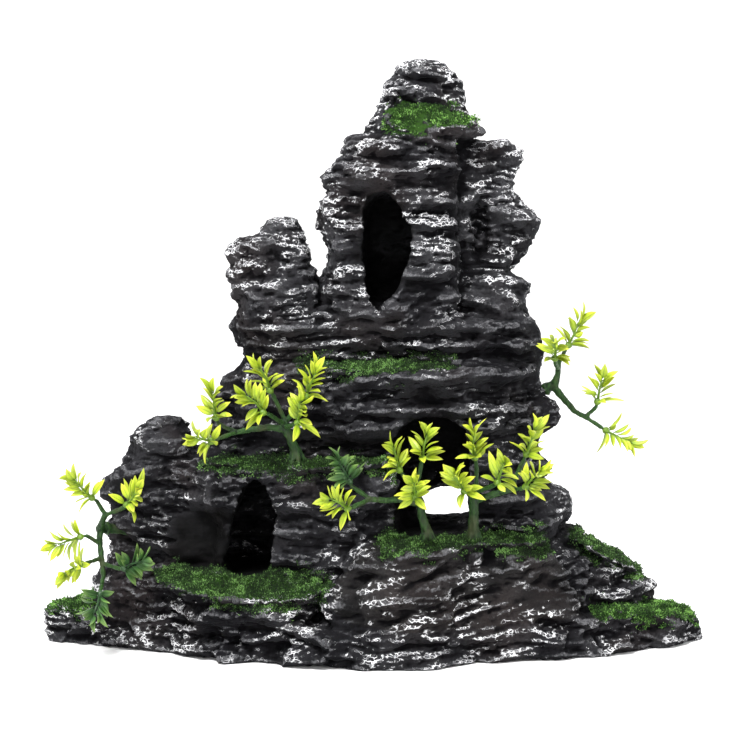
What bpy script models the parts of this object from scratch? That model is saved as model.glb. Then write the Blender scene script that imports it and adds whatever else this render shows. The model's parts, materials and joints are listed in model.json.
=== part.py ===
"""Resin cave ornament for an aquarium: a stepped mountain of cast rock with three caves,
flocked moss beds, and five plug-in plastic plants.

Dimensions are in millimetres and MM turns them into metres. The origin is on the flat
underside of the base. +Z is up, and the show side with the cave mouths faces -Y.
"""
import math

import bmesh
import bpy
from mathutils import Matrix, Vector, noise

MM = 0.001

# Clearances and the heights of the flat bedding planes where one casting sits on the next.
GAP = 0.3
SLAB_TOP = 14.0
PLATEAU_TOP = 42.0
TERRACE_TOP = 70.0
TIER_TOP = 104.0
CROWN_TOP = 121.0
COLUMN_TOP = 185.0
SUMMIT = 213.0

# Upright glue joints between castings that stand side by side.
LEFT_JOINT_X = -5.0
STEPS_JOINT_X = 62.0
BOULDER_JOINT_Y = -13.0
SPIRE_JOINT_X = -21.0
COLUMN_JOINT_X = 29.6

# Rock surface: points round a layer, and the size of its broken edge.
LAYER_POINTS = 28
BROKEN_EDGE = 3.4
EDGE_LENGTH = 22.0
LEDGE_HEIGHT = 7.0

# Moss beds.
MOSS_THICKNESS = 1.4
MOSS_POINTS = 16

# Plants: the round peg under each trunk, its socket, and the leaf whorls pushed on the twigs.
PEG_RADIUS = 1.9
PEG_LENGTH = 8.0
ROOT_FLARE = 0.9
SOCKET_REACH = 16.0
TWIG_RADIUS = 0.9
PIN_RADIUS = 0.55
PIN_LENGTH = 2.1
BORE_RADIUS = 1.0
HUB_RADIUS = 1.7
HUB_HEIGHT = 1.3
LEAF_LENGTH = 8.6
LEAF_LIFT = math.radians(33.0)
SPIN_TRIES = 36

ROCK = (0.030, 0.030, 0.032)
PALE_ROCK = (0.045, 0.043, 0.043)
MOSS = (0.045, 0.130, 0.025)
BRIGHT_MOSS = (0.120, 0.330, 0.030)
BARK = (0.020, 0.085, 0.030)
LEAF = (0.420, 0.560, 0.020)
DARK_LEAF = (0.120, 0.300, 0.030)


# ---------------------------------------------------------------- shared construction

def remove_everything():
    for old in list(bpy.data.objects):
        bpy.data.objects.remove(old, do_unlink=True)


def finish(thing, colour, roughness):
    """Give a piece its own matte material."""
    material = bpy.data.materials.new(thing.name + "_finish")
    material.use_nodes = True
    shader = material.node_tree.nodes["Principled BSDF"]
    shader.inputs["Base Color"].default_value = (*colour, 1.0)
    shader.inputs["Roughness"].default_value = roughness
    shader.inputs["Metallic"].default_value = 0.0
    material.diffuse_color = (*colour, 1.0)
    thing.data.materials.append(material)


def add_object(name, mesh_data):
    """Close a bmesh measured in millimetres and link it as an object in metres."""
    bmesh.ops.scale(mesh_data, vec=(MM, MM, MM), verts=mesh_data.verts)
    bmesh.ops.recalc_face_normals(mesh_data, faces=mesh_data.faces)
    mesh = bpy.data.meshes.new(name)
    mesh_data.to_mesh(mesh)
    mesh_data.free()
    thing = bpy.data.objects.new(name, mesh)
    bpy.context.scene.collection.objects.link(thing)
    return thing


def as_tool(thing):
    """Keep a cutter or a lump out of the finished part."""
    thing.hide_render = True
    thing.display_type = "WIRE"


def combine(host, tool, operation):
    """Add one exact Boolean to a host: UNION joins a lump, DIFFERENCE cuts a hollow."""
    as_tool(tool)
    step = host.modifiers.new(operation.lower() + "_" + tool.name, "BOOLEAN")
    step.operation = operation
    step.solver = "EXACT"
    step.use_self = True
    step.object = tool


def smooth_outline(corners, count):
    """Evenly spaced points on a closed curve that runs through the given corners."""
    fine = []
    total = len(corners)
    for index in range(total):
        a, b, c, d = (Vector(corners[(index + offset) % total]) for offset in (-1, 0, 1, 2))
        for part in range(8):
            t = part / 8
            bend = (c - a) * t + (2 * a - 5 * b + 4 * c - d) * t ** 2
            fine.append(b + 0.5 * (bend + (3 * b - a - 3 * c + d) * t ** 3))
    lengths = [(fine[(i + 1) % len(fine)] - p).length for i, p in enumerate(fine)]
    spacing = sum(lengths) / count
    evenly = []
    walked = 0.0
    for i, start in enumerate(fine):
        while len(evenly) * spacing < walked + lengths[i] and len(evenly) < count:
            share = (len(evenly) * spacing - walked) / lengths[i]
            evenly.append(start.lerp(fine[(i + 1) % len(fine)], share))
        walked += lengths[i]
    return evenly


def loft(mesh_data, rings):
    """Skin a stack of equal rings and close both ends with flat caps."""
    rows = [[mesh_data.verts.new(point) for point in ring] for ring in rings]
    count = len(rows[0])
    for lower, upper in zip(rows, rows[1:]):
        for i in range(count):
            j = (i + 1) % count
            mesh_data.faces.new((lower[i], lower[j], upper[j], upper[i]))
    mesh_data.faces.new(rows[0][::-1])
    mesh_data.faces.new(rows[-1])


def trim(mesh_data, point, normal):
    """Cut away what lies on the normal's side of a plane and close the cut flat."""
    everything = mesh_data.verts[:] + mesh_data.edges[:] + mesh_data.faces[:]
    cut = bmesh.ops.bisect_plane(mesh_data, geom=everything, dist=1e-6, plane_co=point,
                                 plane_no=normal, clear_outer=True)
    rim = [item for item in cut["geom_cut"] if isinstance(item, bmesh.types.BMEdge)]
    bmesh.ops.holes_fill(mesh_data, edges=rim, sides=0)


# ---------------------------------------------------------------- rock

def broken_layer(outline, station, seed, roughness):
    """One layer of rock: the outline fitted between left, right, front and back, then chipped.

    The chipping fades out at the far left and far right, which keeps the drawn silhouette.
    """
    z, left, right, front, back = station
    low_x, high_x = min(p.x for p in outline), max(p.x for p in outline)
    low_y, high_y = min(p.y for p in outline), max(p.y for p in outline)
    middle = Vector(((left + right) / 2, (front + back) / 2))
    layer = []
    for point in outline:
        across = (point.x - low_x) / (high_x - low_x)
        deep = (point.y - low_y) / (high_y - low_y)
        place = Vector((left + across * (right - left), front + deep * (back - front)))
        chip = noise.noise(Vector((place.x / EDGE_LENGTH + seed, place.y / EDGE_LENGTH, z / LEDGE_HEIGHT)))
        fade = min(1.0, 5.0 * across * (1.0 - across))
        place += (place - middle).normalized() * chip * fade * roughness
        layer.append((place.x, place.y, z))
    return layer


def rock(name, corners, stations, seed, trims=(), roughness=BROKEN_EDGE, points=LAYER_POINTS):
    """A casting, or a lump of one, lofted through its layers and trimmed at its joints."""
    outline = smooth_outline(corners, points)
    mesh_data = bmesh.new()
    loft(mesh_data, [broken_layer(outline, station, seed, roughness) for station in stations])
    for point, normal in trims:
        trim(mesh_data, point, normal)
    return add_object(name, mesh_data)


def cave_cutter(name, corners, depths, points=18):
    """A hollow that runs back along Y. Each depth is (y, width factor, height factor, x, z)."""
    outline = smooth_outline(corners, points)
    centre = sum(outline, Vector((0.0, 0.0))) / points
    rings = []
    for y, wide, high, shift_x, shift_z in depths:
        ring = []
        for point in outline:
            x = centre.x + (point.x - centre.x) * wide + shift_x
            z = centre.y + (point.y - centre.y) * high + shift_z
            ring.append((x, y, z))
        rings.append(ring)
    mesh_data = bmesh.new()
    loft(mesh_data, rings)
    return add_object(name, mesh_data)


def make_base_slab():
    """The flat-bottomed slab that carries everything, thinner towards its right end."""
    corners = [(-122, 8), (-112, 3), (-102, 0), (-92, -3), (-81, -8), (-66, -15), (-56, -23), (-46, -28),
               (-36, -30), (-25, -34), (-10, -37), (4, -39), (16, -39), (24, -36), (34, -28), (48, -25),
               (63, -26), (75, -21), (84, -15), (102, -6), (113, 1), (123, 11), (121, 19), (112, 26),
               (98, 33), (84, 38), (66, 41), (45, 45), (20, 46), (0, 47), (-24, 46), (-45, 44),
               (-66, 39), (-85, 35), (-100, 29), (-113, 22)]
    outline = smooth_outline(corners, 56)
    layers = [(0.0, 0.0), (4.0, 0.9), (7.5, -0.8), (10.5, 0.3), (13.2, -1.6), (SLAB_TOP, -8.0)]
    rings = []
    for z, outset in layers:
        ring = []
        for index, point in enumerate(outline):
            ahead = outline[(index + 1) % len(outline)] - outline[index - 1]
            outward = Vector((ahead.y, -ahead.x)).normalized()
            chip = noise.noise(Vector((point.x / 14, point.y / 14, z / 4))) if 0 < z < SLAB_TOP else 0.0
            place = point + outward * (outset + 1.3 * chip)
            thin = 1.0 - 0.45 * max(0.0, (place.x - 104.0) / 19.0)
            ring.append((place.x, place.y, z * min(1.0, thin)))
        rings.append(ring)
    mesh_data = bmesh.new()
    loft(mesh_data, rings)
    return add_object("base_slab", mesh_data)


def make_left_cave_rock():
    """The low left-hand cliff with its cave, the apron in front of it and the boulder on top."""
    joint = ((LEFT_JOINT_X, 0, 0), (1, 0, 0))
    cliff = [(-98, 10), (-94, 2), (-83, -3), (-72, -8), (-62, -15), (-50, -21), (-36, -23), (-20, -24),
             (-6, -24), (4, -22), (6, 8), (4, 38), (-20, 38), (-45, 35), (-75, 30), (-93, 20)]
    body = rock("left_cave_rock", cliff, [
        (SLAB_TOP + GAP, -107, 8, -19, 38), (20, -105, 8, -21, 38), (26, -100, 8, -18.5, 38),
        (31, -97.6, 8, -18, 38), (35, -97, 8, -22, 37), (40, -97.4, 8, -19, 37), (46, -98, 8, -23, 37),
        (51, -99.2, 8, -20, 36), (56, -100, 8, -25.5, 36), (60, -98, 8, -22, 35), (64.5, -94, 8, -26.5, 35),
        (67.5, -91, 8, -23.5, 34), (TERRACE_TOP, -88, 8, -25, 34)], seed=1.7, trims=[joint], points=36)
    apron = [(-88, -3), (-80, -9), (-72, -13), (-64, -20), (-54, -28), (-44, -31), (-32, -33), (-24, -31),
             (-16, -22), (-12, 2), (-40, 4), (-80, 6)]
    combine(body, rock("apron_lump", apron, [
        (SLAB_TOP + GAP, -87, -15, -31, 6), (18, -88, -14, -33.5, 6), (21, -86, -14, -31, 6),
        (24, -86, -13, -33, 6), (31, -83, -12, -31, 6)], seed=5.1, points=24), "UNION")
    boulder = [(-89, 8), (-85, -2), (-76, -6), (-68, -4), (-65, 6), (-67, 16), (-76, 20), (-86, 17)]
    combine(body, rock("left_boulder_lump", boulder, [
        (62, -93, -62, -7, 24), (70.4, -89.5, -64.5, -5, 22), (75.9, -88.5, -68.3, -4, 20),
        (79.6, -87.1, -70.5, -2, 18), (82.6, -83.5, -72.5, 1, 14), (84.1, -80.5, -75.5, 4, 10)],
        seed=2.4, points=16), "UNION")
    mouth = [(-41.7, 66), (-37, 64), (-35, 57), (-35.8, 43), (-36.6, 33), (-38, 28.6), (-46, 28.2),
             (-53, 28.8), (-53.5, 35), (-51.4, 43), (-48.8, 57), (-46, 64)]
    combine(body, cave_cutter("left_cave_hollow", mouth, [
        (-40, 1.1, 1.0, 0, 0), (-18, 1.0, 1.0, 0, 0), (-13, 1.12, 0.98, 1, 0), (-2, 1.6, 0.94, 4, -0.6),
        (14, 1.9, 0.92, 2, -0.8), (23, 1.4, 0.7, 0, -4)]), "DIFFERENCE")
    recess = [(-72, 30.5), (-58, 30.5), (-54.5, 40), (-56, 50), (-63, 54), (-72, 49), (-75, 38)]
    combine(body, cave_cutter("left_recess_hollow", recess, [
        (-34, 1.2, 1.0, 0, 0), (-16, 1.0, 1.0, 0, 0), (-9, 0.75, 0.8, 0, 0)], points=14), "DIFFERENCE")
    combine(body, boulder_loft("boulder_nest", 1.5 * GAP), "DIFFERENCE")
    return body


def make_center_rock():
    """The block under the middle tier: the arch runs through it, and a ledge overhangs the boulder."""
    joint = ((LEFT_JOINT_X + GAP, 0, 0), (-1, 0, 0))
    lower = [(-20, -13), (-10, -16), (30, -17), (60, -16), (70, -9), (74, 4), (74, 20), (68, 36), (40, 43),
             (10, 41), (-6, 38), (-20, 36)]
    body = rock("center_rock", lower, [
        (SLAB_TOP + GAP, -20, 74, -17, 43), (24, -20, 74, -17, 42), (34, -20, 74, -17, 43),
        (46, -20, 74, -17, 41)], seed=3.3, points=24,
        trims=[joint, ((0, BOULDER_JOINT_Y + GAP, 0), (0, -1, 0)), ((STEPS_JOINT_X, 0, 0), (1, 0, 0))])
    upper = [(-20, -25), (-8, -25), (4, -22.5), (12, -18), (24, -17), (36, -17), (52, -16), (64, -9),
             (70, 5), (70, 22), (62, 36), (34, 42), (8, 40), (-6, 37), (-20, 36)]
    combine(body, rock("center_upper_lump", upper, [
        (PLATEAU_TOP + GAP, -20, 69.8, -22, 40), (46.3, -20, 73.1, -25, 42), (51.8, -20, 73, -21, 39),
        (56.5, -20, 68.9, -28, 41), (60, -20, 63.8, -22.5, 39), (64, -20, 65.2, -27, 40),
        (67.5, -20, 63.5, -22, 38), (TERRACE_TOP, -20, 62, -24.5, 38)], seed=7.9, trims=[joint],
        points=32), "UNION")
    return body


def boulder_loft(name, outset):
    """The front boulder's shape, grown by an outset where it cuts its own nest in the cliff."""
    corners = [(-15, -13), (-14, -22), (-11, -30), (-2, -36), (10, -38), (22, -36), (33, -29), (46, -25),
               (60, -25), (71, -21), (79, -13), (80, 0), (30, 4), (-15, 0)]
    layers = [(SLAB_TOP + GAP, -15, 79.5, -37.5), (18, -14, 79, -39.2), (22, -12.5, 77.5, -38.4),
              (27, -11, 75, -39.6), (31, -8, 73, -37.8), (35, -4, 70, -38.8), (38.5, 0, 67.5, -37),
              (PLATEAU_TOP, 2.6, 65, -36)]
    stations = []
    for number, (z, left, right, front) in enumerate(layers):
        rise = outset * (-1 if number == 0 else 1 if number == len(layers) - 1 else 0)
        stations.append((z + rise, left - outset, right + outset, front - outset, 4 + outset))
    trims = [] if outset else [((0, BOULDER_JOINT_Y, 0), (0, 1, 0))]
    return rock(name, corners, stations, seed=4.2, trims=trims, points=34, roughness=1.2)


def make_front_boulder():
    """The big boulder in front with the flat mossy top that carries the pair of trees."""
    return boulder_loft("front_boulder", 0.0)


def make_right_steps_rock():
    """The ledge that steps down to the right end of the slab."""
    corners = [(50, -14), (62, -14), (70, -12), (80, -6), (90, 3), (99, 10), (104.8, 18), (100, 28),
               (86, 36), (62, 40), (50, 40)]
    joints = [((STEPS_JOINT_X + GAP, 0, 0), (-1, 0, 0)), ((0, BOULDER_JOINT_Y + GAP, 0), (0, -1, 0))]
    return rock("right_steps_rock", corners, [
        (SLAB_TOP + GAP, 50, 103.2, -13, 38), (16.3, 50, 104.8, -14, 39), (20.1, 50, 104.7, -14, 39),
        (23.8, 50, 99.5, -14, 38), (28, 50, 95, -14, 37), (31.3, 50, 89.6, -13.5, 36),
        (34, 50, 83, -13, 34), (38, 50, 80.5, -13, 32), (41.4, 50, 78, -12, 30)], seed=6.6, trims=joints,
        points=26)


def make_middle_tier_rock():
    """The broad middle tier, which also holds the crown of the arch."""
    corners = [(-60, 6), (-57, -5), (-46, -11), (-30, -14), (-14, -15), (-4, -18), (8, -20), (20, -20),
               (40, -19), (54, -15), (64, -6), (68, 8), (64, 22), (54, 34), (25, 40), (-15, 40),
               (-45, 34), (-58, 20)]
    return rock("middle_tier_rock", corners, [
        (TERRACE_TOP + GAP, -61, 61.5, -15, 40), (75.7, -60, 59.8, -13, 38), (79.5, -59.5, 64.5, -18, 39),
        (83.1, -59, 67.8, -21.5, 40), (86, -58.8, 68.4, -17, 38), (89.5, -58.4, 66, -22, 38),
        (92.6, -57.8, 63.3, -17.5, 36), (97.9, -54.1, 60.5, -20, 37), (101.5, -48.5, 59, -23, 36),
        (TIER_TOP, -46.5, 60, -20.5, 34)], seed=8.4, points=36)


def make_upper_tier_rock():
    """The layer between the mossy upper ledge and the crown with the upper cave."""
    corners = [(-50, 5), (-46, -7), (-36, -13), (-26, -13), (-16, -10), (0, -9), (14, -11), (26, -15),
               (42, -15), (54, -9), (60, 4), (58, 18), (48, 30), (20, 34), (-15, 34), (-38, 28), (-48, 16)]
    return rock("upper_tier_rock", corners, [
        (TIER_TOP + GAP, -45.7, 62, -14, 34), (108.9, -46.7, 61.9, -12.5, 33), (112, -49, 61, -18, 34),
        (114.8, -50, 60.4, -14, 32), (118, -51, 59, -19, 33), (CROWN_TOP, -51, 57.5, -16.5, 31)],
        seed=9.8, points=34)


def make_left_spire_rock():
    """The leaning spire on the crown's left shoulder."""
    corners = [(-50, 3), (-46, -8), (-36, -12), (-26, -10), (-18, -6), (-16, 6), (-22, 18), (-36, 21),
               (-47, 14)]
    joint = ((SPIRE_JOINT_X, 0, 0), (1, 0, 0))
    return rock("left_spire_rock", corners, [
        (CROWN_TOP + GAP, -50.5, -15, -13, 22), (125.4, -48.4, -16, -14, 21), (129, -49.5, -17, -12, 20),
        (133, -49.8, -18, -13.5, 19), (137, -50.3, -20.6, -11.5, 18), (141, -52, -24, -12.5, 17),
        (145, -52.7, -22.8, -10.5, 15), (148, -49, -25, -10, 13), (150.9, -40.8, -26.6, -8, 12),
        (154, -38.4, -27.6, -6, 9), (156.2, -36.4, -29, -3, 7), (157.2, -34, -30.5, 0, 5)],
        seed=11.3, trims=[joint], points=24, roughness=1.6)


def make_tower_rock():
    """The tall front column with the upper cave, its mossy shoulder and the rounded summit."""
    corners = [(-17, 4), (-15, -8), (-8, -14), (2, -17), (12, -17), (22, -15), (30, -10), (34, 0), (34, 14),
               (26, 24), (10, 27), (-8, 24), (-16, 15)]
    left_joint = ((SPIRE_JOINT_X + GAP, 0, 0), (-1, 0, 0))
    right_joint = ((COLUMN_JOINT_X, 0, 0), (1, 0, 0))
    body = rock("tower_rock", corners, [
        (CROWN_TOP + GAP, -24, 37, -17, 28), (127, -22, 37, -15.5, 27), (131.5, -20, 36, -20, 28),
        (135, -18.5, 35.5, -16, 26), (138.5, -16, 34.5, -19.5, 27), (142, -14.4, 33, -16, 26),
        (146.5, -15.2, 32, -19.5, 26), (151, -17.3, 31.5, -16.5, 24), (155, -18.4, 32, -19.5, 25),
        (160, -19.1, 31.4, -16.5, 24), (165.4, -14.4, 32, -19, 24), (170.2, -15.8, 31.5, -16, 22),
        (173.7, -16.5, 32, -19.5, 23), (178.8, -8.6, 31, -14, 21), (183.5, -10.7, 32, -17, 22),
        (186.8, -6, 31, -13.5, 21)], seed=12.9, trims=[left_joint, right_joint], points=32)
    crest = [(-4, 2), (0, -8), (10, -12), (24, -12), (36, -8), (41, 0), (38, 10), (26, 17), (8, 17), (-2, 11)]
    combine(body, rock("summit_lump", crest, [
        (180, 0, 26, -8, 17), (COLUMN_TOP + 2 * GAP, -2, 28.6, -12, 19), (187.7, -1, 41.3, -13.5, 19),
        (190, -0.2, 38.5, -11.5, 18), (192.5, 1.4, 33.6, -10, 17), (196.6, 2.6, 32.4, -7, 16),
        (199.6, 3.8, 32.4, -6.5, 15), (203, 4.6, 32.8, -6, 14), (206.4, 6.4, 31.6, -4.5, 13),
        (209.6, 9.2, 29, -2.5, 11), (211.8, 12, 26, 0, 8.5), (SUMMIT, 15, 22.5, 2.5, 6)],
        seed=14.1, points=26, roughness=1.2), "UNION")
    mouth = [(4.4, 167.2), (-0.5, 165.2), (-2.8, 160), (-3, 146), (-2.6, 132), (-0.5, 125.5), (2.6, 123.6),
             (7, 128.6), (10.8, 136), (13.6, 146), (13.6, 153.1), (9.8, 162)]
    combine(body, cave_cutter("upper_cave_hollow", mouth, [
        (-30, 1.12, 1.0, 0, 0), (-14, 1.0, 1.0, 0, 0), (-9, 1.15, 1.0, 0, 0), (2, 1.45, 0.98, 2, 0),
        (12, 1.3, 0.9, 3, 0), (16, 0.8, 0.6, 3, 0)]), "DIFFERENCE")
    return body


def make_tower_rear_column():
    """The column behind the tower's right side, with the long pointed ledge."""
    corners = [(28, 8), (32, 2), (42, 0), (52, 3), (58, 10), (60, 20), (54, 29), (42, 33), (30, 30)]
    joint = ((COLUMN_JOINT_X + GAP, 0, 0), (-1, 0, 0))
    body = rock("tower_rear_column", corners, [
        (CROWN_TOP + GAP, 26, 57.5, -8, 32), (126, 26, 57.4, -7, 32), (131, 26, 58, -6, 32),
        (134.4, 26, 56.5, -3, 31), (137.2, 26, 51.8, 0, 31), (140.9, 26, 52.4, 1, 30),
        (146, 26, 56.8, 0, 30), (151.9, 26, 61.2, 1, 30), (157.4, 26, 62.6, 0, 30), (161.8, 26, 54.6, 1, 29),
        (167.2, 26, 50.6, 2, 29), (172.7, 26, 49.7, 1, 28), (177.1, 26, 52.2, 2, 28),
        (181.8, 26, 54.3, 1, 27), (COLUMN_TOP, 26, 50, 3, 25)], seed=16.5, trims=[joint], points=24)
    nook = [(37, 166), (35, 158), (35.2, 146), (37, 139), (41, 138), (43.4, 146), (42.6, 160), (40.4, 167)]
    combine(body, cave_cutter("column_nook_hollow", nook, [
        (-16, 1.2, 1.0, 0, 0), (1, 1.0, 1.0, 0, 0), (8.5, 0.55, 0.6, 0, 0)], points=12), "DIFFERENCE")
    return body


def cut_arch(center, tier):
    """The arch: a tall mouth in front, and a low tunnel that leaves through the back."""
    mouth = [(7.3, 64), (7.8, 80), (11.6, 85.4), (20.5, 87.2), (29.5, 85.4), (34.1, 79), (34.9, 64),
             (35.6, 52), (35, 44), (32, 41), (20, 40.6), (11, 41), (7.6, 44), (7.2, 54)]
    steps = [(-44, 1.1, 1.0, 0, 0), (-14, 1.0, 1.0, 0, 0), (-6, 1.1, 0.99, 1, 0), (8, 1.05, 0.92, 3, -1.4),
             (15, 0.7, 0.6, 4, -8)]
    tunnel = [(17, 43.4), (28, 42.6), (38, 43.4), (41, 49), (38, 54.5), (28, 56.5), (19, 54.5), (15, 49)]
    for host in (center, tier):
        combine(host, cave_cutter("arch_hollow_" + host.name, mouth, steps), "DIFFERENCE")
    combine(center, cave_cutter("arch_tunnel", tunnel, [
        (-4, 1.0, 1.0, 0, 0), (20, 0.95, 1.0, 1, 0), (60, 1.0, 1.0, 3, 0)], points=14), "DIFFERENCE")


# ---------------------------------------------------------------- moss

def outset_outline(outline, distance):
    """Move each point of an outline outwards by a distance."""
    moved = []
    for index, point in enumerate(outline):
        ahead = outline[(index + 1) % len(outline)] - outline[index - 1]
        moved.append(point + Vector((ahead.y, -ahead.x)).normalized() * distance)
    return moved


def moss_bed(name, hosts, centre, corners, tilt=(0.0, 0.0), colour=MOSS, headroom=8.0):
    """A flocked pad on a flat pocket that is cut in its host rocks.

    The corners are measured from the centre, in the pocket's own plane. The centre is the
    pocket's floor, and tilt leans the floor about X and then about Y, in degrees.
    """
    outline = smooth_outline(corners, MOSS_POINTS)
    place = Matrix.Translation(centre)
    place @= Matrix.Rotation(math.radians(tilt[1]), 4, "Y") @ Matrix.Rotation(math.radians(tilt[0]), 4, "X")

    def ring(outset, height):
        return [place @ Vector((p.x, p.y, height)) for p in outset_outline(outline, outset)]

    pad = bmesh.new()
    loft(pad, [ring(0.0, GAP), ring(0.1, GAP + 0.6 * MOSS_THICKNESS), ring(-1.1, GAP + MOSS_THICKNESS)])
    bed = add_object(name, pad)
    finish(bed, colour, 0.95)
    for host in hosts:
        pocket = bmesh.new()
        loft(pocket, [ring(GAP, 0.0), ring(GAP + 0.1, headroom)])
        combine(host, add_object(name + "_pocket_" + host.name, pocket), "DIFFERENCE")
    return bed


def make_moss(rocks):
    """All moss beds, by name."""
    left, center, tier = rocks["left_cave_rock"], rocks["center_rock"], rocks["middle_tier_rock"]
    beds = [
        moss_bed("terrace_moss", [left, center, tier], (-29, -19.2, TERRACE_TOP - 0.6),
                 [(-33, 1.5), (-28, -1.5), (-12, -3.8), (4, -4.2), (20, -4.2), (33, -4), (37, -1), (33, 2),
                  (20, 3.2), (4, 3.6), (-12, 5), (-28, 6.5)], headroom=5.0),
        moss_bed("cave_floor_moss", [left], (-50, -26.2, 25.6),
                 [(-30, 13), (-29, 6), (-20, 0), (-10, -5.6), (4, -8.4), (18, -8.8), (29, -8.6), (31, -2),
                  (31, 5.4), (18, 6.8), (4, 7.0), (-4, 6.8), (-12, 10), (-22, 15)], tilt=(20, 0)),
        moss_bed("boulder_moss", [rocks["front_boulder"], center], (33, -23, PLATEAU_TOP - 0.6),
                 [(-26, 7), (-28, -1), (-22, -8), (-12, -10.5), (0, -6), (12, -2.5), (24, -1), (30, 3),
                  (29, 8.5), (10, 9), (-12, 9)]),
        moss_bed("upper_ledge_moss", [tier, rocks["upper_tier_rock"]], (1, -14.6, TIER_TOP - 0.6),
                 [(-23, 2), (-20, -2), (-8, -3.5), (6, -4.6), (20, -4.2), (26, -1), (20, 2.2), (6, 4),
                  (-10, 4)], headroom=6.0),
        moss_bed("summit_moss", [rocks["tower_rock"]], (18.5, -9.6, 192.4),
                 [(-15, -1), (-13, -5), (-2, -6), (10, -5.6), (19, -4.6), (18, -1), (11, 3), (2, 5.4),
                  (-10, 5.6)], tilt=(50, 0), colour=BRIGHT_MOSS),
        moss_bed("left_end_moss", [rocks["base_slab"], left], (-109, 12, SLAB_TOP - 1.6),
                 [(-9.5, 2), (-6, -4), (0, -6.5), (4, -5), (2.5, 2), (4, 10), (-3, 7)], tilt=(0, -5)),
        moss_bed("right_shelf_moss", [rocks["base_slab"], rocks["right_steps_rock"]], (99, 1, 12.2),
                 [(-17, -14.5), (-8, -11), (2, -6), (12, 2), (20, 10), (15, 17), (8, 12), (0, 3),
                  (-8, -3.5), (-17, -9)], tilt=(0, 7), colour=BRIGHT_MOSS, headroom=5.0),
        moss_bed("step_moss", [rocks["right_steps_rock"]], (87.5, 8, 31.2),
                 [(-14.5, -10), (-6, -13), (2, -9), (9, -2), (15, 6), (14, 13), (4, 16), (-8, 14),
                  (-14.5, 6)], tilt=(0, 29)),
    ]
    return {bed.name: bed for bed in beds}


# ---------------------------------------------------------------- plants

def tube(mesh_data, path, sides):
    """Sweep a round section along a path of (x, y, z, radius) points."""
    points = [Vector(p[:3]) for p in path]
    across = None
    rings = []
    for index, point in enumerate(points):
        before = points[max(index - 1, 0)]
        after = points[min(index + 1, len(points) - 1)]
        along = (after - before).normalized()
        if across is None:
            across = along.orthogonal().normalized()
        across = (across - along * across.dot(along)).normalized()
        side = along.cross(across)
        ring = []
        for corner in range(sides):
            angle = 2 * math.pi * corner / sides
            ring.append(point + (across * math.cos(angle) + side * math.sin(angle)) * path[index][3])
        rings.append(ring)
    loft(mesh_data, rings)


def leaf_section(angle, distance, half_width, thickness):
    """Four corners across a leaf, low-left, low-right, high-right, high-left."""
    out = Vector((math.cos(angle), math.sin(angle), 0.0))
    side = Vector((-out.y, out.x, 0.0))
    droop = 0.022 * distance ** 2
    middle = out * (HUB_RADIUS * 0.6 + distance * math.cos(LEAF_LIFT))
    middle.z = distance * math.sin(LEAF_LIFT) - droop
    lift = Vector((0, 0, thickness / 2))
    return [middle - side * half_width - lift, middle + side * half_width - lift,
            middle + side * half_width + lift, middle - side * half_width + lift]


def whorl_mesh(leaves):
    """A ring hub with its bore, and one pointed leaf that grows from each side of it."""
    mesh_data = bmesh.new()
    loops = []
    for radius, z in ((HUB_RADIUS, -HUB_HEIGHT / 2), (HUB_RADIUS, HUB_HEIGHT / 2),
                      (BORE_RADIUS, HUB_HEIGHT / 2), (BORE_RADIUS, -HUB_HEIGHT / 2)):
        turn = [2 * math.pi * (k - 0.5) / leaves for k in range(leaves)]
        loops.append([mesh_data.verts.new((radius * math.cos(a), radius * math.sin(a), z)) for a in turn])
    for leaf in range(leaves):
        following = (leaf + 1) % leaves
        for here, there in ((1, 2), (2, 3), (3, 0)):
            mesh_data.faces.new((loops[here][leaf], loops[here][following], loops[there][following],
                                 loops[there][leaf]))
        length = LEAF_LENGTH * (0.90 + 0.12 * math.sin(2.4 * leaf + leaves))
        row = [loops[0][leaf], loops[0][following], loops[1][following], loops[1][leaf]]
        for share, half_width, thickness in ((0.36, 1.05, 0.45), (0.62, 1.35, 0.45), (1.0, 0.12, 0.25)):
            section = leaf_section(2 * math.pi * leaf / leaves, length * share, half_width, thickness)
            fresh = [mesh_data.verts.new(corner) for corner in section]
            for k in range(4):
                mesh_data.faces.new((row[k], row[(k + 1) % 4], fresh[(k + 1) % 4], fresh[k]))
            row = fresh
        mesh_data.faces.new(row)
    return mesh_data


def leaf_probes(place, leaves):
    """Points down the middle of each leaf of a whorl, for keeping neighbours apart."""
    probes = []
    for leaf in range(leaves):
        for distance in (2.5, 4.5, 6.5, 8.3):
            section = leaf_section(2 * math.pi * leaf / leaves, distance, 0.0, 0.0)
            probes.append(place @ section[0])
    return probes


def aim_whorl(centre, axis, leaves, taken):
    """Turn a whorl about its twig to where its leaves stay furthest from what is already there."""
    facing = Vector(axis).normalized().to_track_quat("Z", "Y").to_matrix().to_4x4()
    best = None
    for attempt in range(SPIN_TRIES):
        spin = Matrix.Rotation(2 * math.pi * attempt / (SPIN_TRIES * leaves), 4, "Z")
        place = Matrix.Translation(centre) @ facing @ spin
        probes = leaf_probes(place, leaves)
        room = min(((a - b).length for a in probes for b in taken), default=0.0)
        if best is None or room > best[0]:
            best = (room, place, probes)
    return best[1], best[2]


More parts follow.
